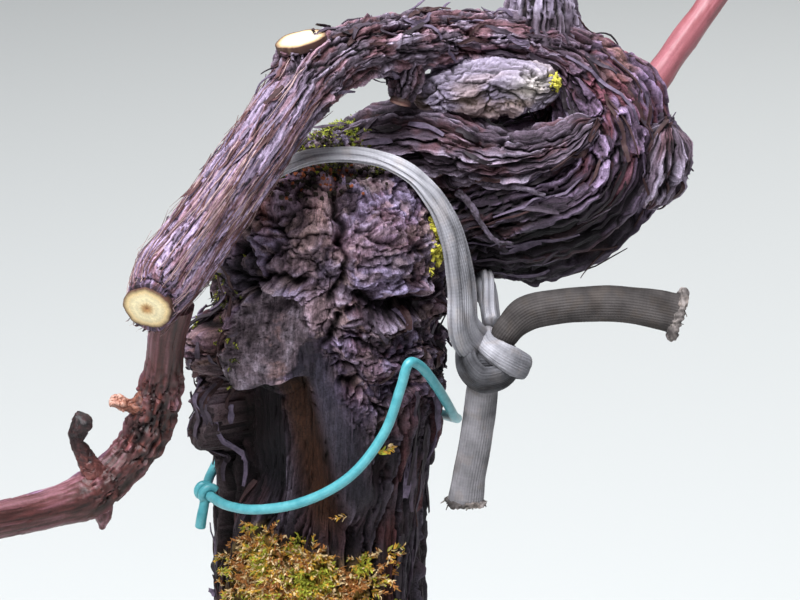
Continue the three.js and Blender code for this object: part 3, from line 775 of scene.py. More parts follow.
def trunk_skin(rows, columns, bottom, top, cells):
    turn, level = grid(rows, columns, bottom, top)
    turn = turn + 0.3 * np.sin(turn) + math.pi / 2  # the seam is behind, and the columns crowd in front
    start, ray, reach = trunk_reach(turn, level)
    plain = start + ray * reach[..., None]
    h, where = trunk_relief(plain, turn, level)
    at = start + ray * (reach + h)[..., None]
    in_bark = 1 - np.maximum(where["wound"], where["bare"])
    ragged = smooth(8, 24, level) * mix(0.35, 1, where["callus"]) * in_bark
    at = at + ragged[..., None] * (0.7 * drift(plain / 5.5, 120) + 0.35 * drift(plain / 2.2, 124))
    grain = straight_grain(turn, level, UNROLLED_RADIUS)
    return Surface(at, start), trunk_tint(plain, h, where, cells), grain, where


TRUNK_SPLITS = (0, 180, 292, 364)  # the heights at which the trunk's four skins begin
bark = bark_look("trunk_bark", fibre=1.6, contrast=0.8, bump=0.9, roughness=0.6, gloss=0.2)


def make_trunk():
    top = DOME_START + 0.5 * (DOME_RADIUS + DOME_HEIGHT) * math.pi / 2 - 0.4
    # rows, columns, and how many cells wide a crack's shade is
    sizes = {"foot": (150, 240, 3), "stem": (150, 240, 3), "waist": (196, 330, 3), "head": (224, 384, 4)}
    skins = {}
    ends = (*TRUNK_SPLITS[1:], top)
    for (name, (rows, columns, cells)), low, high in zip(sizes.items(), TRUNK_SPLITS, ends):
        surface, tint, grain, where = trunk_skin(rows, columns, low, high, cells)
        piece = make_skin(f"trunk_{name}", surface.at, tint, grain, bark, BARK_EDGE)
        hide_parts("trunk")
        skins[name] = (surface, where)
    return skins


# Bark on limbs

def strands(ring, width, length, seed):
    """Strips of bark that lie over each other along a limb: ring is its straightened place in millimetres."""
    sway = np.array((0.5 * width, 0.5 * width, 0.12 * length))
    wander = ring + sway * drift(ring / (3 * width, 3 * width, 0.5 * length), seed)
    wander = wander + 0.12 * width * drift(ring / (0.45 * width, 0.45 * width, 0.06 * length), seed + 2)
    size = np.array((1.5 * width, 1.5 * width, length))
    strips = plates(wander / size, seed + 1, 0.12)
    slim = plates(wander / (size * (0.4, 0.4, 0.45)), seed + 4, 0.2)
    fibre = layers(ring / (0.22 * width, 0.22 * width, 0.14 * length), 2, seed + 8)
    return strips, slim, fibre


def strip_height(ring, width, length, seed, coarse, fine, gap):
    """The height of such strips in millimetres."""
    (strips, _, slits), (slim, _, nicks), fibre = strands(ring, width, length, seed)
    return coarse * strips - gap * slits + fine * slim - 0.4 * gap * nicks + 0.25 * fine * fibre


def strip_chance(ring, width, length, seed):
    """For colours: a number from -0.5 to 0.5 for each strip, and one for each slim strip."""
    (_, big, _), (_, small, _), _ = strands(ring, width, length, seed)
    return big - 0.5, small - 0.5


def limb_skin(limb, run, full, columns, relief, flatten=1.0, ridges=()):
    """A skin's places round a limb, of which relief(ring, turn, run) gives the height.

    Returns its points, heights, straightened places (ring) and the line inside."""
    turn, along = np.meshgrid(np.linspace(0, TAU, columns + 1), run)
    radius = limb.at(run, limb.radius)[:, None]
    ring = straight_grain(turn, along, radius)
    h = relief(ring, turn, along)
    waves = [depth * np.cos(count * turn + phase + twist * along) for count, depth, phase, twist in ridges]
    shape = 1 + sum(waves)
    fullness = np.asarray(full)[:, None]
    at = limb.wrap(turn, along, (radius * shape + h) * fullness, flatten)
    return at, h, ring, limb.at(run, limb.centre)[:, None, :]


# The arm: out of the trunk's back, round the curl, back as the arch and down to the pruned end

def curl_station(angle):
    c, s = math.cos(math.radians(angle)), math.sin(math.radians(angle))
    x, y, z = CURL_CENTRE
    bottom, right, upper, top = CURL_OUTER
    radius = mix(CURL_THICKEST, CURL_THINNEST, smooth(-50, 92, angle))
    outer = bottom + (right - bottom) * smooth(-40, 5, angle) + (upper - right) * smooth(0, 50, angle)
    line = outer + (top - upper) * smooth(40, 95, angle) - radius
    return (x + line * c, y + 3 * c, z + line * s, radius)


ARM_END = (-27.6, -53, 398.4)
ARM_STATIONS = [
    (20, 9, 397, 13), (43, 11, 400, 18),
    *[curl_station(angle) for angle in (-88, -58, -28, 2, 32, 62, 92)],
    (48, 8, 450.4, 7.7), (34.5, -2, 452, 8), (22, -14.5, 453, 8), (12.5, -24, 449, 9.2),
    (4.8, -34, 441.5, 8.2), (-5, -41.5, 428.5, 8.4), (-15, -44, 414.5, 8.8), (-22.6, -45.5, 404, 9.2),
    (-26.4, -49.3, 399.2, 7.6), (*ARM_END, 6.6),
]
ARM_FLATTEN = 0.92
ARM_RIDGES = ((5, 0.035, 0.4, 0.027), (2, 0.035, 1, 0.019))
CURL_END, ELBOW = 8, 12  # station numbers

# The strips that bark is made of: width and length in millimetres, and the seed of their noise
CURL_STRIPS = (3.4, 70, 150)
ARCH_STRIPS = (2.2, 22, 190)
ARM_STRIPS = (1.1, 15, 200)

ARM_PALE = paint("bda7c6")
ARM_MID = paint("866e8a")
ARM_RED = paint("9c6462")


def curl_relief(ring, turn, run):
    return strip_height(ring, *CURL_STRIPS, 1.8, 1.0, 1.5) + 1.8 * noise(ring / (16, 16, 30), 163) - 0.5


def arch_relief(ring, turn, run):
    knots = swellings(ring / (6, 6, 9), 2, 195)
    return 1.6 * knots + strip_height(ring, *ARCH_STRIPS, 1.3, 0.6, 0.9) - 0.8


def bark_arm_relief(ring, turn, run):
    nicks = smooth(0.42, 0.6, noise(ring / (0.9, 0.9, 4.5), 205))
    h = strip_height(ring, *ARM_STRIPS, 0.36, 0.24, 0.34) - 0.6 * nicks + 0.6 * noise(ring / (6, 6, 20), 206)
    return h * mix(1, 0.45, smooth(run.max() - 14, run.max() - 6, run))  # calmer at the cut


def curl_tint(at, h, ring):
    big, small = strip_chance(ring, *CURL_STRIPS)
    shade = depth_shade(h, 3, 0.9, 2.0, 0.4) + 0.2 * big + 0.16 * small
    tint = ramp(shade, DEEP, BARK_DARK, BARK_MID, BARK_PALE)
    light = lit(shade, 0.1, 1.1)
    red = smooth(0.1, 0.4, 0.7 * noise(ring / (5, 5, 26), 181) + 0.7 * small - 0.25 * np.clip(h, -1, 1))
    tint = mix(tint, 0.2 * tint + 0.85 * RED_BARK * light, 0.75 * red)
    x, z = at[..., 0], at[..., 2]
    # painted highlight: the curl's upper right is lighter and bluer, where it faces the sky
    tint = cast(tint, (1.28, 1.24, 1.32), smooth(410, 446, z) * smooth(70, 92, x))
    dark = smooth(434, 402, z + 0.25 * (x - 60))
    tint = tint * (1 - 0.8 * dark)[..., None]
    tint = tint * np.array((0.92, 0.8, 0.95))
    peach = near(at, (92, 0, 446), (9, 40, 7)) * smooth(-0.1, 0.4, noise(ring / (4, 4, 20), 185))
    return mix(tint, paint("c08a7c") * light, 0.75 * peach)


def arch_tint(at, h, ring):
    big, small = strip_chance(ring, *ARCH_STRIPS)
    shade = depth_shade(h, 3, 0.6, 1.3, 0.44) + 0.24 * big + 0.16 * small
    tint = ramp(shade, DEEP, BARK_DARK, BARK_MID * 1.2, BARK_PALE * 1.15)
    light = lit(shade, 0.1, 1.25)
    red = smooth(-0.1, 0.4, noise(ring / (4, 4, 9), 187) + 0.8 * small)
    return mix(tint, 0.25 * tint + 0.8 * RED_BARK * light, 0.6 * red)


def pale_arm_tint(at, h, ring):
    big, small = strip_chance(ring, *ARM_STRIPS)
    shade = depth_shade(h, 3, 0.24, 0.6, 0.62) + 0.22 * big + 0.22 * small
    shade = shade - 0.35 * near(at, ARM_END, (9, 5, 9), 4)
    tint = ramp(shade, DEEP, BARK_DARK, ARM_MID, ARM_PALE, ARM_PALE * 1.15)
    light = lit(shade, 0.25, 1.1)
    red = smooth(0.1, 0.45, layers(ring / (1.6, 1.6, 11), 2, 189) + 0.6 * big)
    tint = mix(tint, ARM_RED * light, 0.55 * red)
    return tint * (1 - 0.32 * smooth(418, 444, at[..., 2]))[..., None]


curl_bark = bark_look("curl_bark", 1.8, roughness=0.56, contrast=0.75, bump=0.85, gloss=0.36, stretch=0.07)
arm_bark = bark_look("arm_bark", 2.8, roughness=0.58, contrast=0.6, bump=0.7, stretch=0.07)


def make_arm():
    limb = Limb(ARM_STATIONS)
    joint, elbow = limb.station_run[CURL_END], limb.station_run[ELBOW]

    def blend(before, after, place, reach):
        """Relief that goes over from one kind to the other round a place along the arm."""
        def both(ring, turn, run):
            share = smooth(place - reach, place + reach, run)
            return mix(before(ring, turn, run), after(ring, turn, run), share)
        return both

    relief = blend(curl_relief, arch_relief, joint - 8, 14)
    relief = blend(relief, bark_arm_relief, elbow + 9, 6)
    parts = (
        ("curl", curl_bark, ("curl_lower", "curl_upper"), 0, joint, 285, 285),
        ("arch_and_arm", arm_bark, ("arch", "left_arm"), joint, limb.length, 390, 184),
    )
    skins = {}
    for name, look, nodes, low, high, rows, columns in parts:
        run = np.linspace(low, high, rows)
        at, h, ring, inside = limb_skin(limb, run, np.ones(rows), columns, relief, ARM_FLATTEN, ARM_RIDGES)
        on_arm = smooth(elbow + 3, elbow + 16, run)[:, None]
        on_arch = smooth(joint - 22, joint + 6, run)[:, None]
        at = at + mix(0.75, 0.1, np.maximum(on_arm, 0.4 * on_arch))[..., None] * drift(at / 3.4, 170)
        tint = mix(curl_tint(at, h, ring), arch_tint(at, h, ring), on_arch)
        tint = mix(tint, pale_arm_tint(at, h, ring), on_arm)
        piece = make_skin(name, at, tint, ring, look, BARK_EDGE)
        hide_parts(*nodes)
        skins[name] = (Surface(at, inside), on_arm + 0 * h)
    return skins


# Shoulder, side lobe, old wood and stubs

def strip_relief(width, length, seed, strength=1.0, lumps=0.0):
    def relief(ring, turn, run):
        h = strip_height(ring, width, length, seed, 1.7, 0.8, 1.2) - 0.4
        return strength * h + lumps * noise(ring / 7, seed + 11)
    return relief


def make_limb(name, stations, size, relief, colour, look, nodes=None, ends=(0, 0, 0),
              flatten=1.0, ridges=(), across=(0, 1, 0), ragged=0.0):
    """One limb as one piece. size is its rows and columns; ends is its round start, round end and open end.

    It replaces the node of its own name and has the slot of its look, unless others are given."""
    limb = Limb(stations, across)
    run, full = rows_along(limb.length, size[0], *ends)
    at, h, ring, inside = limb_skin(limb, run, full, size[1], relief, flatten, ridges)
    at = at + ragged * drift(at / 3, 300)
    edge = RAGGED_EDGE if ragged else NO_EDGE
    piece = make_skin(name, at, colour(at, h, ring), ring, look, edge)
    replaced = [name] if nodes is None else nodes
    if replaced:
        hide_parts(*replaced)
    return Surface(at, inside), limb


def bark_tint(at, h, ring):
    shade = depth_shade(h, 3, 0.7, 1.5, 0.4)
    tint = ramp(shade, DEEP, BARK_DARK, BARK_MID, BARK_PALE)
    light = lit(shade, 0.15, 0.95)
    red = smooth(0.0, 0.45, noise(ring / (5, 5, 16), 211) + 0.3 * noise(ring / 2, 212))
    return mix(tint, 0.3 * tint + 0.65 * RED_BARK * light, 0.55 * red)


def old_wood_relief(ring, turn, run):
    bent = ring + 2.4 * drift(ring / (6, 6, 9), 220) + 0.7 * drift(ring / (1.8, 1.8, 3), 222)
    broad, _, gap = plates(bent / (4.6, 4.6, 9), 225, 0.1)
    small, _, nicks = plates(bent / (1.7, 1.7, 4), 226, 0.14)
    lines = layers(bent / (0.8, 0.8, 6), 3, 221)
    flakes = 1.0 * broad - 0.9 * gap + 0.4 * small - 0.3 * nicks
    return flakes + 0.35 * lines + 1.2 * noise(ring / (6, 6, 12), 224) - 0.5


def old_wood_tint(at, h, ring):
    shade = depth_shade(h, 3, 0.5, 1.2, 0.54) + 0.1 * layers(ring / (2, 2, 9), 3, 233)
    tint = ramp(shade, *paints("141011 43373c 80738a b3a6bb"))
    tan = smooth(-0.05, 0.4, noise(ring / (4, 4, 12), 231) + 0.05 * (440 - at[..., 2]))
    tint = mix(tint, paint("8c705b") * lit(shade, 0.2, 0.95), 0.6 * tan)
    light = lit(shade, 0.4, 0.75)
    # the core's top is lighter lavender-grey: its own grey, and painted sky light on its upward face
    top = smooth(437, 443, at[..., 2] + 1.5 * noise(at / 4, 237)) * smooth(452, 446, at[..., 2])
    tint = mix(tint, paint("a89cb0") * light, 0.45 * top)
    pale = near(at, (69, -2, 440.5), (5.5, 12, 3.5))
    return mix(tint, paint("ddd3c8") * light, 0.7 * pale)


def stub_tint(at, h, ring):
    """Weathered pale wood, with bark still on its foot."""
    foot = smooth(462, 454, at[..., 2] + 4 * noise(at / 3, 235))
    return mix(old_wood_tint(at, h, ring), 0.8 * bark_tint(at, h, ring), foot)


old_wood = bark_look("old_wood", fibre=2.2, contrast=0.35, bump=0.35, roughness=0.75, stretch=0.06)


def make_side_pieces():
    skins = {}
    shoulder = [
        (15, 15, 411, 10), (32, 9, 421, 11), (45, 3, 423.5, 10.8), (58, -1, 421, 8.6), (69, -2.6, 421.5, 7.4),
        (78, -2, 424.8, 6.6), (85, 0, 430.5, 5.6),
    ]
    core = [(38, 6, 435.5, 5.2), (50, 3, 437.8, 7.5), (63, 3, 438.8, 7.7), (76, 6, 437.5, 5.6)]
    lobe = [(98.6, 9, 403.9, 9.2), (101.5, 9, 415.5, 9.4), (104.4, 9, 427.1, 9.2)]
    hanging = [(37, -1, 450, 4.6), (36, -4, 443, 4.4), (34.5, -6, 437.5, 3.2)]
    top = [(71.5, 17, 446, 10.4), (72.2, 20.5, 466.5, 9), (73, 24, 487, 8.3)]
    elbow = [(11.5, -23, 449, 8.6), (10.7, -23.2, 453.6, 7.6), (9.9, -23.45, 457.5, 6.9)]
    skins["shoulder"], _ = make_limb(
        "shoulder", shoulder, (180, 184), strip_relief(2.8, 46, 240, 1.0, 1.0), bark_tint, curl_bark,
        ends=(0, 6, 0), ridges=((5, 0.03, 0, 0.04),), ragged=0.6)
    skins["core"], _ = make_limb(
        "old_wood_core", core, (140, 150), old_wood_relief, old_wood_tint, old_wood,
        ends=(4.5, 4, 0), ridges=((3, 0.05, 1, 0.04),))
    skins["lobe"], _ = make_limb(
        "curl_side_lobe", lobe, (84, 150), strip_relief(2.2, 30, 250, 1.1, 1.0), bark_tint, curl_bark,
        ends=(10, 10, 0), ragged=0.7)
    make_limb(
        "hanging_stub", hanging, (50, 90), strip_relief(1.4, 14, 260, 0.6, 0.4), bark_tint, curl_bark,
        ends=(0, 1.2, 0), ragged=0.3)
    make_limb(
        "top_stub", top, (104, 130), strip_relief(1.8, 30, 270, 0.7, 0.6), stub_tint, old_wood,
        ends=(0, 0.6, 0), ragged=0.5)
    make_limb(
        "elbow_stump", elbow, (44, 120), strip_relief(1.6, 9, 280, 0.7, 1.2), bark_tint, curl_bark,
        ["elbow_cut_stump"], ragged=0.5)
    return skins


# Pruning cuts

CUT_FACE = 0.85  # this share of a cut's rows lies on its face, and the rest over its edge
FRESH_CUT = paints("8a5b33 c29a66 e6d5aa eadcb4 e6d5aa d8bd8b 54362b")
WHITE_CUT = paints("cfbb93 e6dcc4 e9e1cd e7dec8 e2d5b8 cfae84 4a2d26")
OLD_CUT = paints("4a3b33 7c6c62 94857b 8a7b72 7a6a62 5d4d47 3a2f2c")
CANE_CUT = paints("6e4c35 a98560 d9caa0 dccfa8 c9b68a 8f6f4c 4e3228")
PINK_CUT = paints("b98f80 d9b3a6 d8b0a4 cfa297 b58a80 8a5f58 4e3430")
cut_wood = bark_look("cut_wood", fibre=2.6, contrast=0.14, bump=0.18, roughness=0.6, stretch=0.3)


def make_cut(name, centre, axis, radius, tones, depth=2.0, dome=0.35, squash=1.0, look=None):
    """A sawn face: a thin disc whose rows run from its middle over the edge and a little way down."""
    axis = unit(np.array(axis, float))
    first = unit(np.cross(axis, (0, 0.3, 1)))
    second = np.cross(axis, first)
    turn, step = grid(40, 72)
    edge = np.stack([np.cos(turn), np.sin(turn), 0 * turn + radius], -1)
    outline = radius * (1 + 0.04 * np.cos(2 * turn + 0.6) + 0.025 * np.cos(5 * turn + 2))
    outline = outline + 0.25 * noise(3 * edge, 310) + 0.12 * noise(9 * edge, 312)
    reach = np.minimum(step / CUT_FACE, 1)
    rays = layers(np.stack([5 * np.cos(turn), 5 * np.sin(turn), reach], -1), 3, 311)
    saw = 0.05 * np.sin(9 * reach * np.cos(turn) + 1.5 * reach * np.sin(turn))
    height = dome * (1 - reach ** 2) + saw + 0.06 * rays * reach - depth * smooth(CUT_FACE, 1, step) ** 2
    pith = 0.25 * np.exp(-(reach / 0.09) ** 2)
    spread = (outline * reach)[..., None]
    at = centre + spread * (first * np.cos(turn)[..., None] + squash * second * np.sin(turn)[..., None])
    at = at + axis * (height - pith)[..., None]
    rings = 0.5 + 0.5 * np.sin(reach * 26 + 0.8 * rays)
    tint = ramp(reach + 0.03 * rays, *tones) * (0.9 + 0.12 * rings + 0.08 * rays)[..., None]
    tint = tint * mix(1, 0.35, smooth(0.9, 1, step))[..., None]
    grain = np.stack([reach * radius * np.cos(turn), reach * radius * np.sin(turn), height], -1)
    return make_skin(name, at, tint, grain, look or cut_wood)


def make_cuts():
    make_cut("arm_cut", np.array((-27.8, -53.5, 398.3)), (-1.2, -3.7, -0.8), 6.1, FRESH_CUT, squash=0.93)
    make_cut("elbow_cut", np.array((9.7, -23.6, 458.7)), (-0.24, -0.05, 1), 6.5, WHITE_CUT)
    make_cut("hanging_stub_cut", np.array((34.4, -6.3, 436.9)), (-0.3, -0.45, -0.85), 2.7, PINK_CUT, depth=1)
    make_cut("top_stub_cut", np.array((73.0, 24.1, 487.5)), (0.05, 0.17, 1), 7.6, OLD_CUT)


# Canes

brown_cane = bark_look("brown_cane", fibre=2.6, contrast=0.34, bump=0.25, roughness=0.46, stretch=0.05)
red_cane = bark_look("red_cane", fibre=2.0, contrast=0.16, bump=0.1, roughness=0.42, stretch=0.06)
CANE_TONES = paints("20130f 56302f 8d5f69 c9a3b8")
RED_TONES = paints("43201f 8b4c50 a96a72 bd8690")
SPUR_TONES = paints("3a1f1f 84503f b27f6c d9b4a6")
STALK_TONES = paints("120c0e 3a2020 6e3f3a 96706e")
BUD_TONES = paints("1f1413 4a2e28 7a5446 a58a72")


def cane_line(stations, radius, tip, direction, reach, internode, side):
    """Past its bends a cane goes straight on, with a swelling at each node."""
    start = np.array(stations[-1][:3], float)
    heading, side = unit(np.array(direction, float)), np.array(side, float)
    line, nodes = list(stations), []
    for k in range(1, int(reach // internode) + 1):
        hand = 1 if k % 2 else -1
        at = start + heading * k * internode + side * hand * radius * 0.45
        r = radius + (tip - radius) * k * internode / reach
        line.append((*at, r * 1.22))
        line.append((*(at + heading * internode * 0.22), r * 0.98))
        nodes.append((at, hand))
    line[-1] = (*line[-1][:3], tip)
    return line, nodes, heading, side


def cane_relief(ring, turn, run):
    stripes = layers((ring + 0.5 * drift(ring / (4, 4, 12), 320)) / (0.75, 0.75, 30), 2, 321)
    return 0.13 * stripes + 0.25 * noise(ring / (4, 4, 9), 323) - 0.2 * crack(ring / (2.4, 2.4, 18), 324)


def rough_stretch(at):
    """Where the left cane's old bark peels: above its bend, round the spur, and at the stalk's foot."""
    return near(at, (-29, -35.5, 362.5), (8, 9, 14), 4) + 0.7 * near(at, (-42, -40.5, 345), (6, 8, 5))


def old_cane_relief(place):
    """A cane's relief with peeling bark where place, a function of points, says so."""
    def relief(ring, turn, run):
        rough = place(run)
        bent = ring + 0.8 * drift(ring / (3, 3, 7), 326)
        peel, _, gap = plates(bent / (1.9, 1.9, 7), 327, 0.14)
        return cane_relief(ring, turn, run) + rough * (0.9 * peel - 0.8 * gap + 0.9 * noise(ring / 2.6, 328))
    return relief


def left_cane_tint(at, h, ring):
    """Pinkish stripes, dark reddish peeling bark on the rough stretch, a lighter upper side as painted light, and
    blue-grey patches there: a waxy coat with painted sky sheen.
    """
    # painted light: the cane's upper side is lighter, lit from above
    upper = ring[..., 1] / np.hypot(ring[..., 0], ring[..., 1])
    plain = tinted(CANE_TONES, 0.44 + 0.2 * upper, 0.3, 340)(at, h, ring)
    rough = np.clip(rough_stretch(at + 1.5 * drift(at / 3, 343)), 0, 1)
    shade = 0.36 + 0.4 * h + 0.25 * layers(ring / (1.2, 1.2, 5), 3, 344)
    worn = ramp(shade - 0.06, *paints("130b0d 38201f 6b413f a98490"))
    red = smooth(0.1, 0.4, noise(ring / (1.4, 1.4, 5), 345))
    worn = mix(worn, paint("8a4236") * lit(shade, 0.3, 1), 0.6 * red)
    # blue-grey patches on the upper side only: the cane's waxy coat, with painted sky sheen
    bloom_and_sheen = smooth(0.0, 0.45, noise(at / 7, 346)) * (1 - rough) * smooth(-0.2, 0.5, upper)
    plain = cast(plain, (0.8, 0.95, 1.3), 0.8 * bloom_and_sheen)
    return mix(plain, worn, 0.92 * rough)


def tinted(tones, middle, streak, seed):
    """Stripes of bark colour along a cane, lighter where the bark stands out, as painted light."""
    def colour(at, h, ring):
        stripes = layers(ring / (0.7, 0.7, 22), 2, seed)
        patches = noise(ring / (4, 4, 14), seed + 3)
        return ramp(middle + streak * stripes + 0.5 * streak * patches + 0.25 * h, *tones)
    return colour


def make_bud(name, at, heading, out, size, look):
    """A bud: overlapping scales that close to a point."""
    base = np.array(at, float)
    heading, out = np.array(heading, float), np.array(out, float)
    shape = ((-0.3, 0, 0.55), (0.35, 0.3, 0.62), (0.6, 0.95, 0.48), (0.62, 1.5, 0.16))
    stations = [(*(base + (out * side + heading * along) * size), size * r) for side, along, r in shape]

    def scales(ring, turn, run):
        overlap = torn(run / size * 1.6 + turn / TAU * 2) - 0.5
        return 0.16 * size * overlap + 0.04 * size * noise(ring / 0.8, 331)

    def colour(at, h, ring):
        # painted shade where each scale tucks under the next, painted light on its raised edge
        return ramp(0.45 + 1.1 * h / size + 0.3 * noise(ring / 0.7, 333), *BUD_TONES)

    make_limb(name, stations, (26, 28), scales, colour, look, (), ends=(0, 0.3 * size, 0))


def knobbly(depth):
    def relief(ring, turn, run):
        small, _, gap = plates((ring + 0.5 * drift(ring / 2, 329)) / (1.3, 1.3, 2.2), 330, 0.16)
        return depth * (0.6 * small - 0.6 * gap + 0.8 * noise(ring / (2.2, 2.2, 3), 331))
    return relief


def shaded(tones, low, high, start, end, axis=0):
    """Tones that go from start to end between two places along an axis, with specks, and painted shade in cracks.
    """
    def colour(at, h, ring):
        level = mix(start, end, smooth(low, high, at[..., axis]))
        return ramp(level + 0.35 * h + 0.25 * layers(at / 1.2, 3, 334), *tones)
    return colour


def make_cane_buds(name, nodes, heading, side, reach, size, look):
    for k, (at, hand) in enumerate(nodes):
        make_bud(f"{name}_bud_{k + 1}", at + side * hand * reach, heading, side * hand, size, look)


def make_left_cane():
    bends = [
        (-22, -41, 395, 5.0), (-24, -38.5, 387, 4.9), (-25.2, -36.5, 378, 4.7), (-27, -35, 367.5, 5.3),
        (-30.4, -35, 358, 5.8), (-36.8, -37, 349.5, 5.5), (-44.5, -42, 343.8, 6.0), (-55, -51, 343.2, 5.0),
        (-65, -62, 345.4, 4.7),
    ]
    level = (0, 0.1, 1)
    line, nodes, heading, side = cane_line(bends, 4.59, 3.6, (-0.68, -0.7, 0.12), 205, 52, level)
    bend = Limb(line, level)

    def rough(run):
        return np.clip(rough_stretch(bend.at(run[:, 0], bend.centre)), 0, 1)[:, None]

    _, limb = make_limb("cane_left", line, (660, 72), old_cane_relief(rough), left_cane_tint, brown_cane,
                        across=level, ragged=0.12)
    make_cane_buds("cane_left", nodes, heading, side, 4.6, 3.6, brown_cane)
    make_cut("cane_left_cut", limb.centre[-1], limb.tangent[-1], 3.3, CANE_CUT, 1.2)


def make_right_cane():
    bends = [(92, 19, 424, 5.4), (100, 27, 430, 4.1), (108.5, 36, 439, 3.6), (118.5, 45, 450.5, 3.6)]
    level = (0.78, -0.2, -0.45)
    line, nodes, heading, side = cane_line(bends, 3.6, 2.5, (0.52, 0.28, 0.8), 275, 46, level)
    tint = tinted(RED_TONES, 0.55, 0.2, 350)
    _, limb = make_limb("cane_right", line, (460, 40), cane_relief, tint, red_cane, across=level)
    make_cane_buds("cane_right", nodes, heading, side, 3.8, 3.0, red_cane)
    make_cut("cane_right_cut", limb.centre[-1], limb.tangent[-1], 2.3, CANE_CUT, 1.0)


def make_cane_stubs():
    spur = [
        (-28.5, -35.5, 366, 4.2), (-31.5, -37, 366, 3.2), (-34.2, -37.6, 366.2, 1.9),
        (-36.8, -38.2, 367.2, 2.1), (-39.4, -38.6, 368, 1.7),
    ]
    stalk = [
        (-42, -40.6, 344.5, 5.2), (-43.8, -41.4, 349.4, 3.4), (-45.6, -42, 354, 2.3),
        (-47.2, -42.5, 358.5, 1.7), (-46.6, -43, 362.2, 2.6), (-44.6, -43.4, 365.4, 2.5),
    ]
    low = [(-41.2, -41.4, 341, 2.2), (-41.6, -41.6, 338, 2.5), (-42, -41.8, 333.4, 0.8)]
    spur_tint = shaded(SPUR_TONES, -39, -29, 0.72, 0.0)
    stalk_tint = shaded(STALK_TONES, 348, 362, 0.6, 0.12, axis=2)
    bud_tint = tinted(CANE_TONES, 0.4, 0.4, 368)
    for name, stations, size, relief, tint, dome, ragged in (
        ("cane_spur_stub", spur, (70, 48), knobbly(0.5), spur_tint, 1, 0.5),
        ("cane_dry_stalk", stalk, (110, 54), knobbly(0.32), stalk_tint, 1.2, 0.5),
        ("cane_lower_bud", low, (34, 30), cane_relief, bud_tint, 0.7, 0.15),
    ):
        make_limb(name, stations, size, relief, tint, brown_cane, ends=(0, dome, 0), ragged=ragged)


# The knitted tube tie

TIE_FLATTEN, TAIL_FLATTEN = 5 / 11, 0.55
TUBE_FULL, TUBE_SQUEEZED = 5.0, 2.1  # half the ring's width, in front and where the head hides it
knit = knit_look("tie_knit", wales=1.45, courses=1.1)
TIE_TONES = paints("1d1c1e 5d5c60 98969c d6d3da f4f0f6")
HEAD_RING = [
    (54.5, -20.5, 375.5), (51, -24.8, 382), (50.2, -23.6, 394), (48, -21, 405), (44, -18.5, 414),
    (37.5, -17, 421.3), (29, -17, 425.4), (19, -18.5, 427), (8.5, -22, 426.4), (-3, -25, 420.5),
    (-13, -21, 409), (-20.5, -9, 398), (-23, 5, 389), (-18, 22, 382), (-5, 35, 377), (14, 40, 375),
    (34, 37, 375), (49, 24, 378), (56, 8, 383), (57.6, -8, 384), (58.4, -17, 379),
]


def knit_relief(folds, depth, rib=0.05):
    """Lengthwise folds on both faces of a flat tube, that wander a little, and its fine ribs."""
    def relief(ring, turn, run):
        sway = 0.9 * noise(np.stack([0 * turn, 0 * turn + folds, run / 22], -1), 371)
        pull = noise(np.stack([np.cos(turn), np.sin(turn), run / 9], -1), 372)
        ribs = np.abs(np.sin(folds * (turn + sway * np.sin(turn)))) ** 0.8 - 0.6
        return depth * ribs + rib * np.cos(38 * turn) + 0.25 * pull
    return relief


def tie_tint(bright, grime, warm=0.0):
    def colour(at, h, ring):
        z = at[..., 2]
        # painted light on the band's top, which faces the sky, and on its lower stretch; painted shade in its
        # folds (0.16 * h)
        painted_light = 0.24 * smooth(404, 424, z) + 0.13 * smooth(397, 388, z) * smooth(374, 378, z)
        shade = bright + 0.16 * h + grime * layers(at / 5, 4, 373) + painted_light
        stain = warm + 0.3 * smooth(0.1, 0.5, layers(at / 4, 3, 377))
        return cast(ramp(shade, *TIE_TONES), (1.1, 0.96, 0.82), stain)
    return colour


def end_rim(limb, turns):
    """A flat tube's end and heading, and the ways out from its middle to its rim."""
    out = limb.first[-1] * np.cos(turns)[:, None] + TAIL_FLATTEN * limb.second[-1] * np.sin(turns)[:, None]
    return limb.centre[-1], limb.tangent[-1], out


def make_hem(name, limb, radius, thickness, bright):
    """The rolled, worn rim of a cut tube: a knobbly ring round its end."""
    end, heading, out = end_rim(limb, np.linspace(0, TAU, 25))
    rim = end + radius * out
    rim = rim + heading * (0.4 * noise(rim / 2.2, 381) - 0.2)[:, None]
    stations = [(*at, thickness * (1 + 0.5 * swell)) for at, swell in zip(rim, noise(rim / 1.6, 383))]

    def knots(ring, turn, run):
        return 0.45 * noise(ring / 0.9, 385)

    make_limb(name, stations, (180, 20), knots, tie_tint(bright, 0.3, 0.9), knit, (), ragged=0.25,
              across=lambda p: heading)


def tie_part(name, stations, size, relief, tint, nodes=None, ends=(0, 0, 0), flatten=1.0, across=(0, 1, 0)):
    _, limb = make_limb(name, stations, size, relief, tint, knit, nodes, ends, flatten,
                        across=across)
    return limb


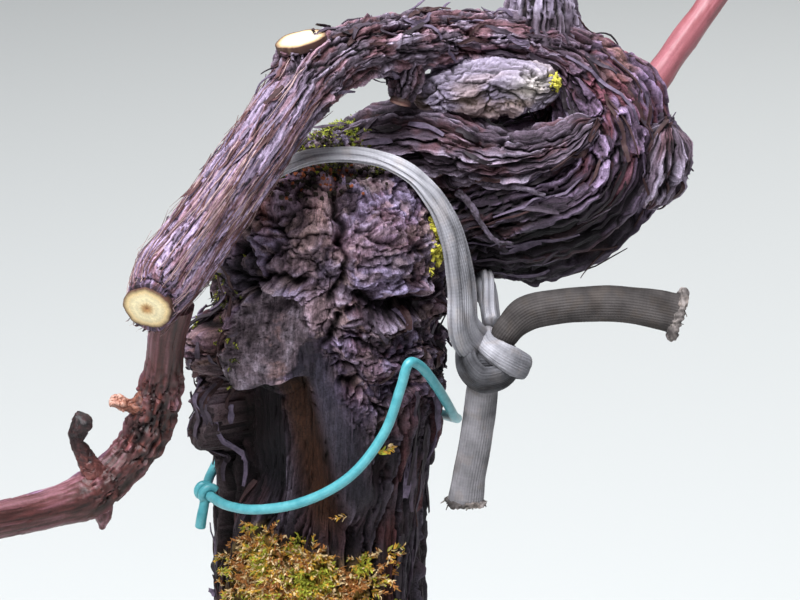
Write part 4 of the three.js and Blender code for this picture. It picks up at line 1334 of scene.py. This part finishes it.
def make_tie():
    squeeze = [float(smooth(0.5, 7, k) - smooth(10, 17, k)) for k in range(len(HEAD_RING))]
    ring = [(*point, TUBE_FULL + (TUBE_SQUEEZED - TUBE_FULL) * share) for point, share in zip(HEAD_RING, squeeze)]
    tie_part("tie_ring", ring, (260, 190), knit_relief(3, 1.0), tie_tint(0.34, 0.08), flatten=TIE_FLATTEN,
             across=lambda p: (p[0] - 16, p[1] - 4, p[2] - 388))
    middle = np.array((58.5, -19.5, 372))
    low = [
        (53.5, -14, 378, 3.6), (51.4, -20, 375.4, 4), (52, -24.4, 371.6, 4.2), (55.4, -26.2, 368.8, 4.3),
        (60, -25.6, 369, 4.2), (63.6, -22.5, 370.8, 3.8), (63, -17, 372, 3.6),
    ]
    over = [
        (56, -17, 379, 2.8), (56.8, -22, 377, 2.9), (59.6, -25.2, 375.6, 3.4), (63.4, -25.8, 373.6, 3.8),
        (66.2, -23, 371.2, 3.4), (65.4, -19, 368.8, 2.6), (62, -17, 369, 2.4),
    ]
    heart = [(53.5, -20, 371, 4.6), (59, -20.5, 372, 5.4), (64, -20, 373, 4.4)]
    tie_part("tie_knot_low", low, (90, 152), knit_relief(2, 0.5), tie_tint(0.15, 0.12), ["tie_knot"],
             (1, 1, 0), 0.5, lambda p: p - middle)
    tie_part("tie_knot_over", over, (90, 152), knit_relief(2, 0.5), tie_tint(0.35, 0.12), (),
             (1, 1, 0), 0.62, lambda p: p - middle)
    tie_part("tie_knot_heart", heart, (36, 64), knit_relief(2, 0.4, 0), tie_tint(0.2, 0.12), (), (3, 3, 0))
    down = [
        (56.2, -21.5, 368.5, 4.1), (55.6, -22, 361, 4.4), (54.2, -22, 350, 4.5), (52.6, -22, 340, 4.6),
        (51.6, -22, 332.5, 5),
    ]
    out = [
        (60.0, -20, 375, 3.2), (62, -20.4, 379.6, 3.9), (67, -18.4, 383.8, 4.8), (75.9, -17, 385.4, 4.7),
        (91, -15.5, 385.6, 4.9), (104, -15.5, 383.4, 5.4), (106.6, -15.5, 382.6, 6.0),
    ]
    down_limb = tie_part("tie_tail_down", down, (100, 152), knit_relief(1, 0.5), tie_tint(0.36, 0.1, 0.2),
                         ends=(0, 0, 4), flatten=TAIL_FLATTEN, across=(0.2, -0.9, 0.2))
    side_limb = tie_part("tie_tail_side", out, (150, 110), knit_relief(1, 0.5, 0), tie_tint(-0.03, 0.05, 0.8),
                         ends=(0, 0, 5), flatten=TAIL_FLATTEN, across=(0.1, -0.9, 0.3))
    make_fray("tie_fray_down", down_limb, 4.9, 50)
    make_fray("tie_fray_side", side_limb, 5.8, 60)
    make_hem("tie_hem_down", down_limb, 5.0, 0.75, 0.22)
    make_hem("tie_hem_side", side_limb, 6.0, 1.1, 0.13)


def make_fray(name, limb, radius, count):
    """Short curled threads round a tube's cut end."""
    end, heading, out = end_rim(limb, dice.uniform(0, TAU, count))
    length = dice.uniform(0.5, 1.8, count)[:, None, None]
    u = np.linspace(0, 1, 6)[None, :, None]
    curl = 0.7 * dice.normal(0, 1, (count, 1, 3)) * u ** 1.5
    root = (end + radius * out * dice.uniform(0.84, 1.0, (count, 1)) - 0.8 * heading)[:, None]
    line = root + length * (u * (heading + 0.35 * unit(out)[:, None]) + curl)
    make_many(name, rods(line, dice.uniform(0.2, 0.42, count), 5), thread)


# The plastic cord

CORD_RADIUS, CORD_SIDES = 1.3, 20
CORD_ROUTE = [
    (-15.9, -13.5, 330.6), (-10.8, -22.5, 331.8), (-3.5, -28.8, 333.4), (8.5, -32.3, 336.8),
    (21.4, -34, 344.8), (30.4, -33, 356.5), (34.6, -32.4, 368.6), (36.8, -31.6, 375.4), (39.2, -28.6, 373.8),
    (43.8, -22, 365.5), (48.6, -9, 352), (49.4, 6, 345), (42, 23, 340), (28, 32.8, 336), (12, 34.8, 333),
    (-4, 28, 331), (-14, 15, 330), (-16.6, 3, 329.8), (-17.2, -7, 330.4),
]


def cord_relief(ring, turn, run):
    return 0.05 * noise(ring / (3, 3, 8), 381)


def no_tint(at, h, ring):
    return np.ones_like(at)


def make_cord():
    plastic = cord_look()

    def part(name, stations, rows, ends=(0, 0, 0), across=(0, 1, 0)):
        make_limb(name, stations, (rows, CORD_SIDES), cord_relief, no_tint, plastic,
                  ends=ends, across=across)

    ring = [(*point, CORD_RADIUS) for point in CORD_ROUTE]
    part("cord_ring", ring, 420, across=lambda p: (p[0] - 15, p[1], 0))
    axis = unit(np.array((0.49, -0.86, 0.11)))
    level = unit(np.cross(axis, (0, 0, 1)))
    rise = np.cross(level, axis)
    knot = []
    for k in range(15):
        angle = math.radians(-60 + 42 * k)
        along = -2.0 + 0.29 * k
        reach = 1.75 + 0.2 * math.sin(1.5 * angle)
        place = np.array((-16.9, -11.2, 330.7)) + axis * along
        place = place + reach * (level * math.cos(angle) + rise * math.sin(angle))
        knot.append((*place, CORD_RADIUS * 0.9))
    part("cord_knot", knot, 210, (0.5, 0.5, 0))
    tail = [
        (-17.0, -11.6, 331.5, 1.3), (-17.6, -12.6, 327.5, 1.3), (-18.2, -12.9, 324.5, 1.4),
        (-18.7, -12.6, 321.3, 1.45),
    ]
    part("cord_tail", tail, 40, (0, 0, 2.5))


# Small things in their hundreds

def rods(line, radius, sides):
    """Thin round rods along lines of points, thinner at their tips. line is (count, steps, 3)."""
    along = unit(np.gradient(line, axis=1))
    level = unit(np.cross(along, (0.31, 0.17, 0.93)))
    other = np.cross(along, level)
    steps = line.shape[1]
    taper = (1 - 0.6 * np.linspace(0, 1, steps))[None, :, None, None]
    turn = np.arange(sides) * TAU / sides
    ring = level[:, :, None] * np.cos(turn)[:, None] + other[:, :, None] * np.sin(turn)[:, None]
    return line[:, :, None] + radius[:, None, None, None] * taper * ring


def follow(surface, spots, length, lean, steps):
    """Lines that start at spots and run with the grain, and their outward and sideways directions."""
    j, i = spots
    u = np.linspace(0, 1, steps)[None]
    rows = j[:, None] + (length / surface.row_step[j, i])[:, None] * u
    columns = i[:, None] + (lean * length / surface.column_step[j, i])[:, None] * u
    base = surface.sample(surface.calm, rows, columns)
    out = unit(surface.sample(surface.out, rows, columns))
    along = unit(np.gradient(base, axis=1) + 1e-6)
    return base, out, unit(np.cross(out, along))


def ribbons(surface, share, count, length, width, lift, lean=0.12, thickness=0.4, cup=0.18, both_ends=0.3,
            wander=0.6, steps=8):
    """Loose strips of bark. Each lifts off at its tip, or in its middle where it still holds at both ends."""
    spots = surface.spots(share, count)
    length = dice.uniform(*length, count) * dice.choice((-1, 1), count)
    width = dice.uniform(*width, count)
    lift = dice.uniform(*lift, count)
    leans = dice.normal(0, lean, count)
    base, out, side = follow(surface, spots, length, leans, steps)
    u = np.linspace(0, 1, steps)[None]
    held = dice.random(count) < both_ends
    rise = np.where(held[:, None], np.sin(math.pi * u) * 0.5, u ** 2) * lift[:, None]
    sway = wander * np.cumsum(dice.normal(0, 1, (count, steps)), axis=1) * (width / steps)[:, None] * u
    line = base + out * (0.35 + rise)[..., None] + side * sway[..., None]
    taper = 0.3 + 0.7 * np.sin(math.pi * (0.15 + 0.72 * u))
    breadth = width[:, None] * taper * dice.uniform(0.75, 1.2, (count, steps))
    half = (0.5 * breadth)[..., None]
    bow = cup * breadth[..., None]
    thick = (thickness * (1 - 0.5 * u) + 0 * breadth)[..., None]
    section = [
        line - side * half + out * bow,
        line + out * 0.3 * thick,
        line + side * half + out * bow,
        line + side * 0.9 * half + out * (bow - thick),
        line - out * 0.9 * thick,
        line - side * 0.9 * half + out * (bow - thick),
    ]
    return np.stack(section, axis=2)


def leaves(root, heading, flat, length, width):
    """Tiny pointed leaves: three rows of three points each. flat is the direction across a leaf."""
    out = unit(np.cross(heading, flat))
    rows = []
    for place, wide, lift in ((0, 0.35, 0), (0.45, 1, 0.12), (1, 0.12, -0.06)):
        middle = root + heading * (place * length)[:, None] + out * (lift * length)[:, None]
        across = flat * (0.5 * wide * width)[:, None]
        thick = out * (0.16 * width)[:, None]
        rows.append(np.stack([middle - across, middle + across, middle + thick], axis=1))
    return np.stack(rows, axis=1)


def moss(surface, share, count, stem, leaf, per_stem=12, upright=0.6):
    """Sprigs of moss: each is a short bent stem with leaves on alternate sides. Returns the leaves only."""
    j, i = surface.spots(share, count)
    base, out = surface.calm[j, i], surface.out[j, i]
    stray = unit(dice.normal(size=(count, 3)))
    heading = unit(upright * out + 0.8 * (stray - out * (stray * out).sum(-1, keepdims=True)))
    length = dice.uniform(*stem, count)
    parts = []
    for k in range(per_stem):
        u = (k + 1) / per_stem
        spine = unit(heading + 0.5 * u * (stray * (1, 1, 0) - (0, 0, 0.35)))
        root = base + spine * (u * length)[:, None]
        flat = unit(np.cross(spine, dice.normal(size=(count, 3))))
        hand = 1 if k % 2 else -1
        leaf_heading = unit(spine + 0.9 * hand * flat + 0.25 * dice.normal(size=(count, 3)))
        across = unit(np.cross(leaf_heading, dice.normal(size=(count, 3))))
        size = dice.uniform(*leaf, count) * (1.15 - 0.5 * u)
        parts.append(leaves(root, leaf_heading, across, size, 0.42 * size))
    return np.concatenate(parts)


def crumbs(surface, share, count, size, lift=0.4):
    """Small angular grains that lie on a skin."""
    j, i = surface.spots(share, count)
    radius = dice.uniform(*size, count)[:, None, None, None]
    centre = surface.at[j, i] + surface.out[j, i] * (lift * radius[:, 0, 0])
    turn = np.arange(5) * TAU / 5
    rows = []
    for height, wide in ((-0.8, 0.35), (-0.1, 1.0), (0.75, 0.4)):
        rows.append(np.stack([wide * np.cos(turn), wide * np.sin(turn), np.full(5, height)], -1))
    shape = np.stack(rows)[None] * dice.uniform(0.6, 1.25, (count, 3, 5, 1))
    spin = unit(dice.normal(size=(count, 3)))
    other = unit(np.cross(spin, dice.normal(size=(count, 3))))
    third = np.cross(spin, other)
    frame_of = np.stack([spin, other, third], axis=1)
    return centre[:, None, None] + radius * np.einsum("nrsk,nkx->nrsx", shape, frame_of)


def share_out(points, count, clump):
    """The shapes dealt out to several colours: at random, or so that like colours lie together in clumps."""
    if clump:
        order = np.argsort(noise(points.mean((1, 2)) / clump, 415) + 0.3 * dice.normal(size=len(points)))
        return np.array_split(points[order], count)
    order = dice.permutation(len(points))
    return [points[order[k::count]] for k in range(count)]


SPRIG_STEM, SPRIG_LEAF = (1.4, 5.0), (0.9, 2.2)  # least and greatest length, in millimetres


def plain_looks(kind, roughness, **codes):
    """A plain look for each tone, called by the kind and the tone."""
    return [plain_look(f"{kind}_{tone}", code, roughness) for tone, code in codes.items()]


thread = plain_look("tie_thread", "6f6962", 0.9, 1.0)
STRIP_LOOKS = plain_looks("loose_bark", 0.68, dark="2b2228", grey="453a45", pale="64576a", red="3f2a2b")
HAIR_LOOKS = [plain_look("bark_hair_pale", "a98d8c", 0.6), plain_look("bark_hair_brown", "6d4c49", 0.65)]
SLIVER_LOOKS = [
    plain_look("bark_sliver_grey", "76667a", 0.6), plain_look("bark_sliver_brown", "57393a", 0.65),
]
MOSS_LOOKS = plain_looks("moss", 0.8, green="a3a53a", gold="c99b3c", straw="dec394", brown="a8703c")
BRIGHT_MOSS_LOOKS = plain_looks("moss", 0.8, lime="a9ad45", leaf="7f8a35")
DARK_MOSS_LOOKS = plain_looks("moss", 0.85, olive="5b5f2c", dark="3b3b22")
lichen = plain_look("lichen_yellow", "c6bd4e", 0.85, 1.2, 0.25)
rust = plain_look("crumb_rust", "9a5638", 0.85)
soil = plain_look("crumb_dark", "2e2620", 0.9)
STRAND_TONES = paints("1a1417 40363e 75687a a398a6")


def deal(name, points, looks, clump=0):
    """One joined mesh for each look, with its share of the shapes."""
    for look, part in zip(looks, share_out(points, len(looks), clump)):
        make_many(f"{name}_{look.name.split('_')[-1]}", part, look)


def strand_over(surface, name, places, radius):
    """An old dry strand along the front of a skin, through places given as x and z in millimetres."""
    stations = []
    for k, (x, z) in enumerate(places):
        miss = np.hypot(surface.at[..., 0] - x, surface.at[..., 2] - z)
        j, i = np.unravel_index(np.argmin(miss * 3 + surface.at[..., 1]), miss.shape)
        lift = 0.5 + 1.2 * math.sin(math.pi * k / (len(places) - 1))
        thickness = radius * (1 - 0.45 * k / (len(places) - 1))
        stations.append((x, surface.at[j, i, 1] - lift, z, thickness))
    make_limb(name, stations, (80, 18), knobbly(0.25), shaded(STRAND_TONES, 40, 80, 0.4, 0.55), curl_bark, (),
              ends=(0.5, 0.5, 0), flatten=0.6, ragged=0.35)


def grow_on_arm(skins):
    curl, _ = skins["curl"]
    strand_over(curl, "curl_strand_upper", [(47, 418), (53, 416), (60, 414.5), (66, 414.8), (72, 413)], 1.1)
    strand_over(curl, "curl_strand_lower", [(49, 412), (53, 409.5), (56, 404.5), (59.5, 400), (64, 399)], 1.0)
    strand_over(curl, "curl_strand_small", [(61, 421), (65, 419), (69, 419.6), (72.5, 417.6)], 0.7)
    everywhere = np.ones_like(curl.row_step)
    strips = np.concatenate([
        ribbons(curl, everywhere, 110, (10, 30), (0.5, 1.5), (0.2, 1.4), 0.08),
        ribbons(curl, everywhere, 90, (4, 12), (0.5, 1.4), (1.0, 3.4), 0.3),
    ])
    deal("curl_strips", strips, STRIP_LOOKS)
    arm, on_arm = skins["arch_and_arm"]
    flakes = ribbons(arm, 1.02 - on_arm, 90, (3, 9), (0.7, 1.8), (0.5, 2.2), 0.3, 0.3)
    deal("arch_flakes", flakes, STRIP_LOOKS)
    hairs = ribbons(arm, on_arm, 260, (6, 24), (0.16, 0.3), (0.1, 1.6), 0.06, 0.12, 0, 0.5, 1.5)
    deal("arm_hairs", hairs, HAIR_LOOKS)
    slivers = ribbons(arm, on_arm, 80, (3, 10), (0.4, 1.0), (0.3, 1.2), 0.1, 0.2)
    deal("arm_slivers", slivers, SLIVER_LOOKS)


def grow_on_sides(skins):
    for name, count in (("shoulder", 45), ("lobe", 40)):
        skin = skins[name]
        strips = ribbons(skin, np.ones_like(skin.row_step), count, (4, 14), (0.7, 1.8), (0.4, 2.4), 0.25)
        deal(f"{name}_strips", strips, STRIP_LOOKS)
    shoulder = skins["shoulder"]
    green = near(shoulder.at, (15, 3, 421), (10, 12, 5), 4)
    sprigs = moss(shoulder, green, 460, (0.4, 1.4), (0.6, 1.2), 9)
    deal("shoulder_moss", sprigs, BRIGHT_MOSS_LOOKS)
    core = skins["core"]
    spot = near(core.at, (74.5, -1, 440.5), (1.1, 4, 1.8))
    make_many("core_lichen", crumbs(core, spot, 60, (0.3, 0.65)), lichen)


def grow_on_head(head, where):
    x, y, z = (head.at[..., k] for k in range(3))
    open_bark = (1 - where["wound"]) * (1 - where["bare"])
    aside = np.maximum(np.maximum(smooth(-6, -14, x), smooth(-6, 4, y)), 0.5 * smooth(388, 380, z))
    low_right = open_bark * smooth(26, 40, x) * smooth(392, 380, z)
    flakes = np.concatenate([
        ribbons(head, open_bark * aside, 80, (2.5, 7), (0.8, 2.0), (0.3, 1.6), 0.5),
        ribbons(head, low_right, 24, (4, 9), (1, 2.4), (1, 3), 0.4),
        ribbons(head, open_bark * smooth(-4, -14, x), 40, (3, 9), (0.8, 2.2), (1, 3), 0.4),
    ])
    deal("head_flakes", flakes, STRIP_LOOKS)


def grow_on_stem(waist, where, stem, foot):
    x, y = waist.at[..., 0], waist.at[..., 1]
    mossy = moss_share(waist.at)
    beside = np.maximum(np.maximum(smooth(-4, -12, x), smooth(27, 34, x)), smooth(-8, 2, y))
    bark_share = (1 - where["wound"]) * (1 - where["bare"]) * beside * (1 - mossy) ** 4
    strips = np.concatenate([
        ribbons(waist, bark_share, 90, (8, 26), (0.9, 2.6), (0.3, 2.0), 0.04),
        ribbons(waist, bark_share * smooth(-2, -12, x), 60, (6, 16), (0.8, 2.4), (0.6, 2.4), 0.1),
    ])
    deal("waist_strips", strips, STRIP_LOOKS)
    for name, skin, count in (("stem", stem, 130), ("foot", foot, 90)):
        strips = ribbons(skin, smooth(0, 30, skin.at[..., 2]), count, (10, 34), (1.2, 3.2), (0.4, 2.8), 0.05)
        deal(f"{name}_strips", strips, STRIP_LOOKS)

    tufts = near(waist.at, (29.5, -24, 349.5), (1.3, 9, 1.5)) + near(waist.at, (17, -29, 329), (3.0, 9, 1.0))
    sprigs = moss(waist, mossy + 0.8 * tufts, 900, SPRIG_STEM, SPRIG_LEAF, 14, 0.7)
    deal("waist_moss", sprigs, MOSS_LOOKS, 6)
    below = moss_share(stem.at) + 0.05 * smooth(0.1, 0.5, noise(stem.at / 16, 405))
    sprigs = moss(stem, below, 480, SPRIG_STEM, SPRIG_LEAF, 12, 0.7)
    deal("stem_moss", sprigs, MOSS_LOOKS, 6)


def grow_moss_on_head(head):
    """Moss, lichen and crumbs on the head."""
    x, y, z = (head.at[..., k] for k in range(3))
    left_edge = smooth(-2, -12, x) * smooth(352, 372, z) * smooth(-0.1, 0.4, noise(head.at / 8, 407))
    crown = smooth(417, 421, z) * smooth(-22, -8, y)
    dark = moss(head, 0.5 * left_edge + crown, 480, (0.8, 2.4), (0.7, 1.4), 8)
    deal("head_moss", dark, [MOSS_LOOKS[0], *DARK_MOSS_LOOKS], 4)
    edge = near(head.at, (45, -17, 406), (2.5, 7, 6.6), 4) * smooth(-0.3, 0.3, noise(head.at / 3, 413))
    rusty = near(head.at, (15, -24, 424), (6, 8, 3))
    top = smooth(415, 419, z) * np.exp(-((x - 12) / 11) ** 4) * smooth(-8, -16, y)
    for name, points, look in (
        ("lichen", crumbs(head, edge, 260, (0.3, 0.85), 1.0), lichen),
        ("lichen_tufts", moss(head, edge, 100, (1.2, 2.6), (0.7, 1.3), 10, 1), lichen),
        ("rust_crumbs", crumbs(head, rusty, 90, (0.25, 0.65)), rust),
        ("dark_crumbs", crumbs(head, crown + 0.6 * top, 700, (0.3, 1.0)), soil),
    ):
        make_many(f"head_{name}", points, look)


def grow_on_trunk(skins):
    grow_on_head(*skins["head"])
    grow_on_stem(*skins["waist"], skins["stem"][0], skins["foot"][0])
    grow_moss_on_head(skins["head"][0])


# Studio

def make_camera():
    data = bpy.data.cameras.new("camera")
    data.lens = CAMERA_LENS
    data.sensor_width = 36
    data.clip_start = 0.01
    camera = bpy.data.objects.new("camera", data)
    target = Vector(CAMERA_TARGET) * MM
    back = Vector((0, -math.cos(CAMERA_ELEVATION), math.sin(CAMERA_ELEVATION)))
    camera.location = target + back * CAMERA_DISTANCE * MM
    camera.rotation_euler = (-back).to_track_quat("-Z", "Y").to_euler()
    bpy.context.scene.collection.objects.link(camera)
    bpy.context.scene.camera = camera


def make_floor():
    bm = bmesh.new()
    bmesh.ops.create_grid(bm, x_segments=1, y_segments=1, size=6)
    mesh = bpy.data.meshes.new("floor")
    bm.to_mesh(mesh)
    bm.free()
    look, _, shader = new_look("floor_grey", 0.9)
    shader.inputs["Base Color"].default_value = (0.62, 0.63, 0.62, 1)
    mesh.materials.append(look)
    floor = bpy.data.objects.new("floor", mesh)
    bpy.context.scene.collection.objects.link(floor)


def area_light(name, place, target, size, power, colour=(1, 1, 1)):
    data = bpy.data.lights.new(name, "AREA")
    data.shape = "DISK"
    data.size = size
    data.energy = power
    data.color = colour
    light = bpy.data.objects.new(name, data)
    light.location = place
    light.rotation_euler = (Vector(target) - Vector(place)).to_track_quat("-Z", "Y").to_euler()
    bpy.context.scene.collection.objects.link(light)


def make_lights():
    head = Vector(CAMERA_TARGET) * MM
    area_light("sky", (-0.3, -0.65, 2.1), head, 1.5, 92, (0.93, 0.96, 1.0))
    area_light("left_window", (-1.6, -1.2, 1.2), head, 1.2, 10)
    area_light("back_rim", (0.9, 1.6, 1.3), head, 1.2, 12)
    world = bpy.data.worlds.new("studio")
    bpy.context.scene.world = world
    world.use_nodes = True
    world.node_tree.nodes["Background"].inputs["Color"].default_value = (0.9, 0.92, 0.95, 1)
    world.node_tree.nodes["Background"].inputs["Strength"].default_value = 0.15
    bpy.context.scene.view_settings.view_transform = "Standard"


make_camera()
make_floor()
make_lights()
trunk_skins = make_trunk()
arm_skins = make_arm()
side_skins = make_side_pieces()
make_cuts()
make_left_cane()
make_right_cane()
make_cane_stubs()
make_tie()
make_cord()
grow_on_arm(arm_skins)
grow_on_sides(side_skins)
grow_on_trunk(trunk_skins)
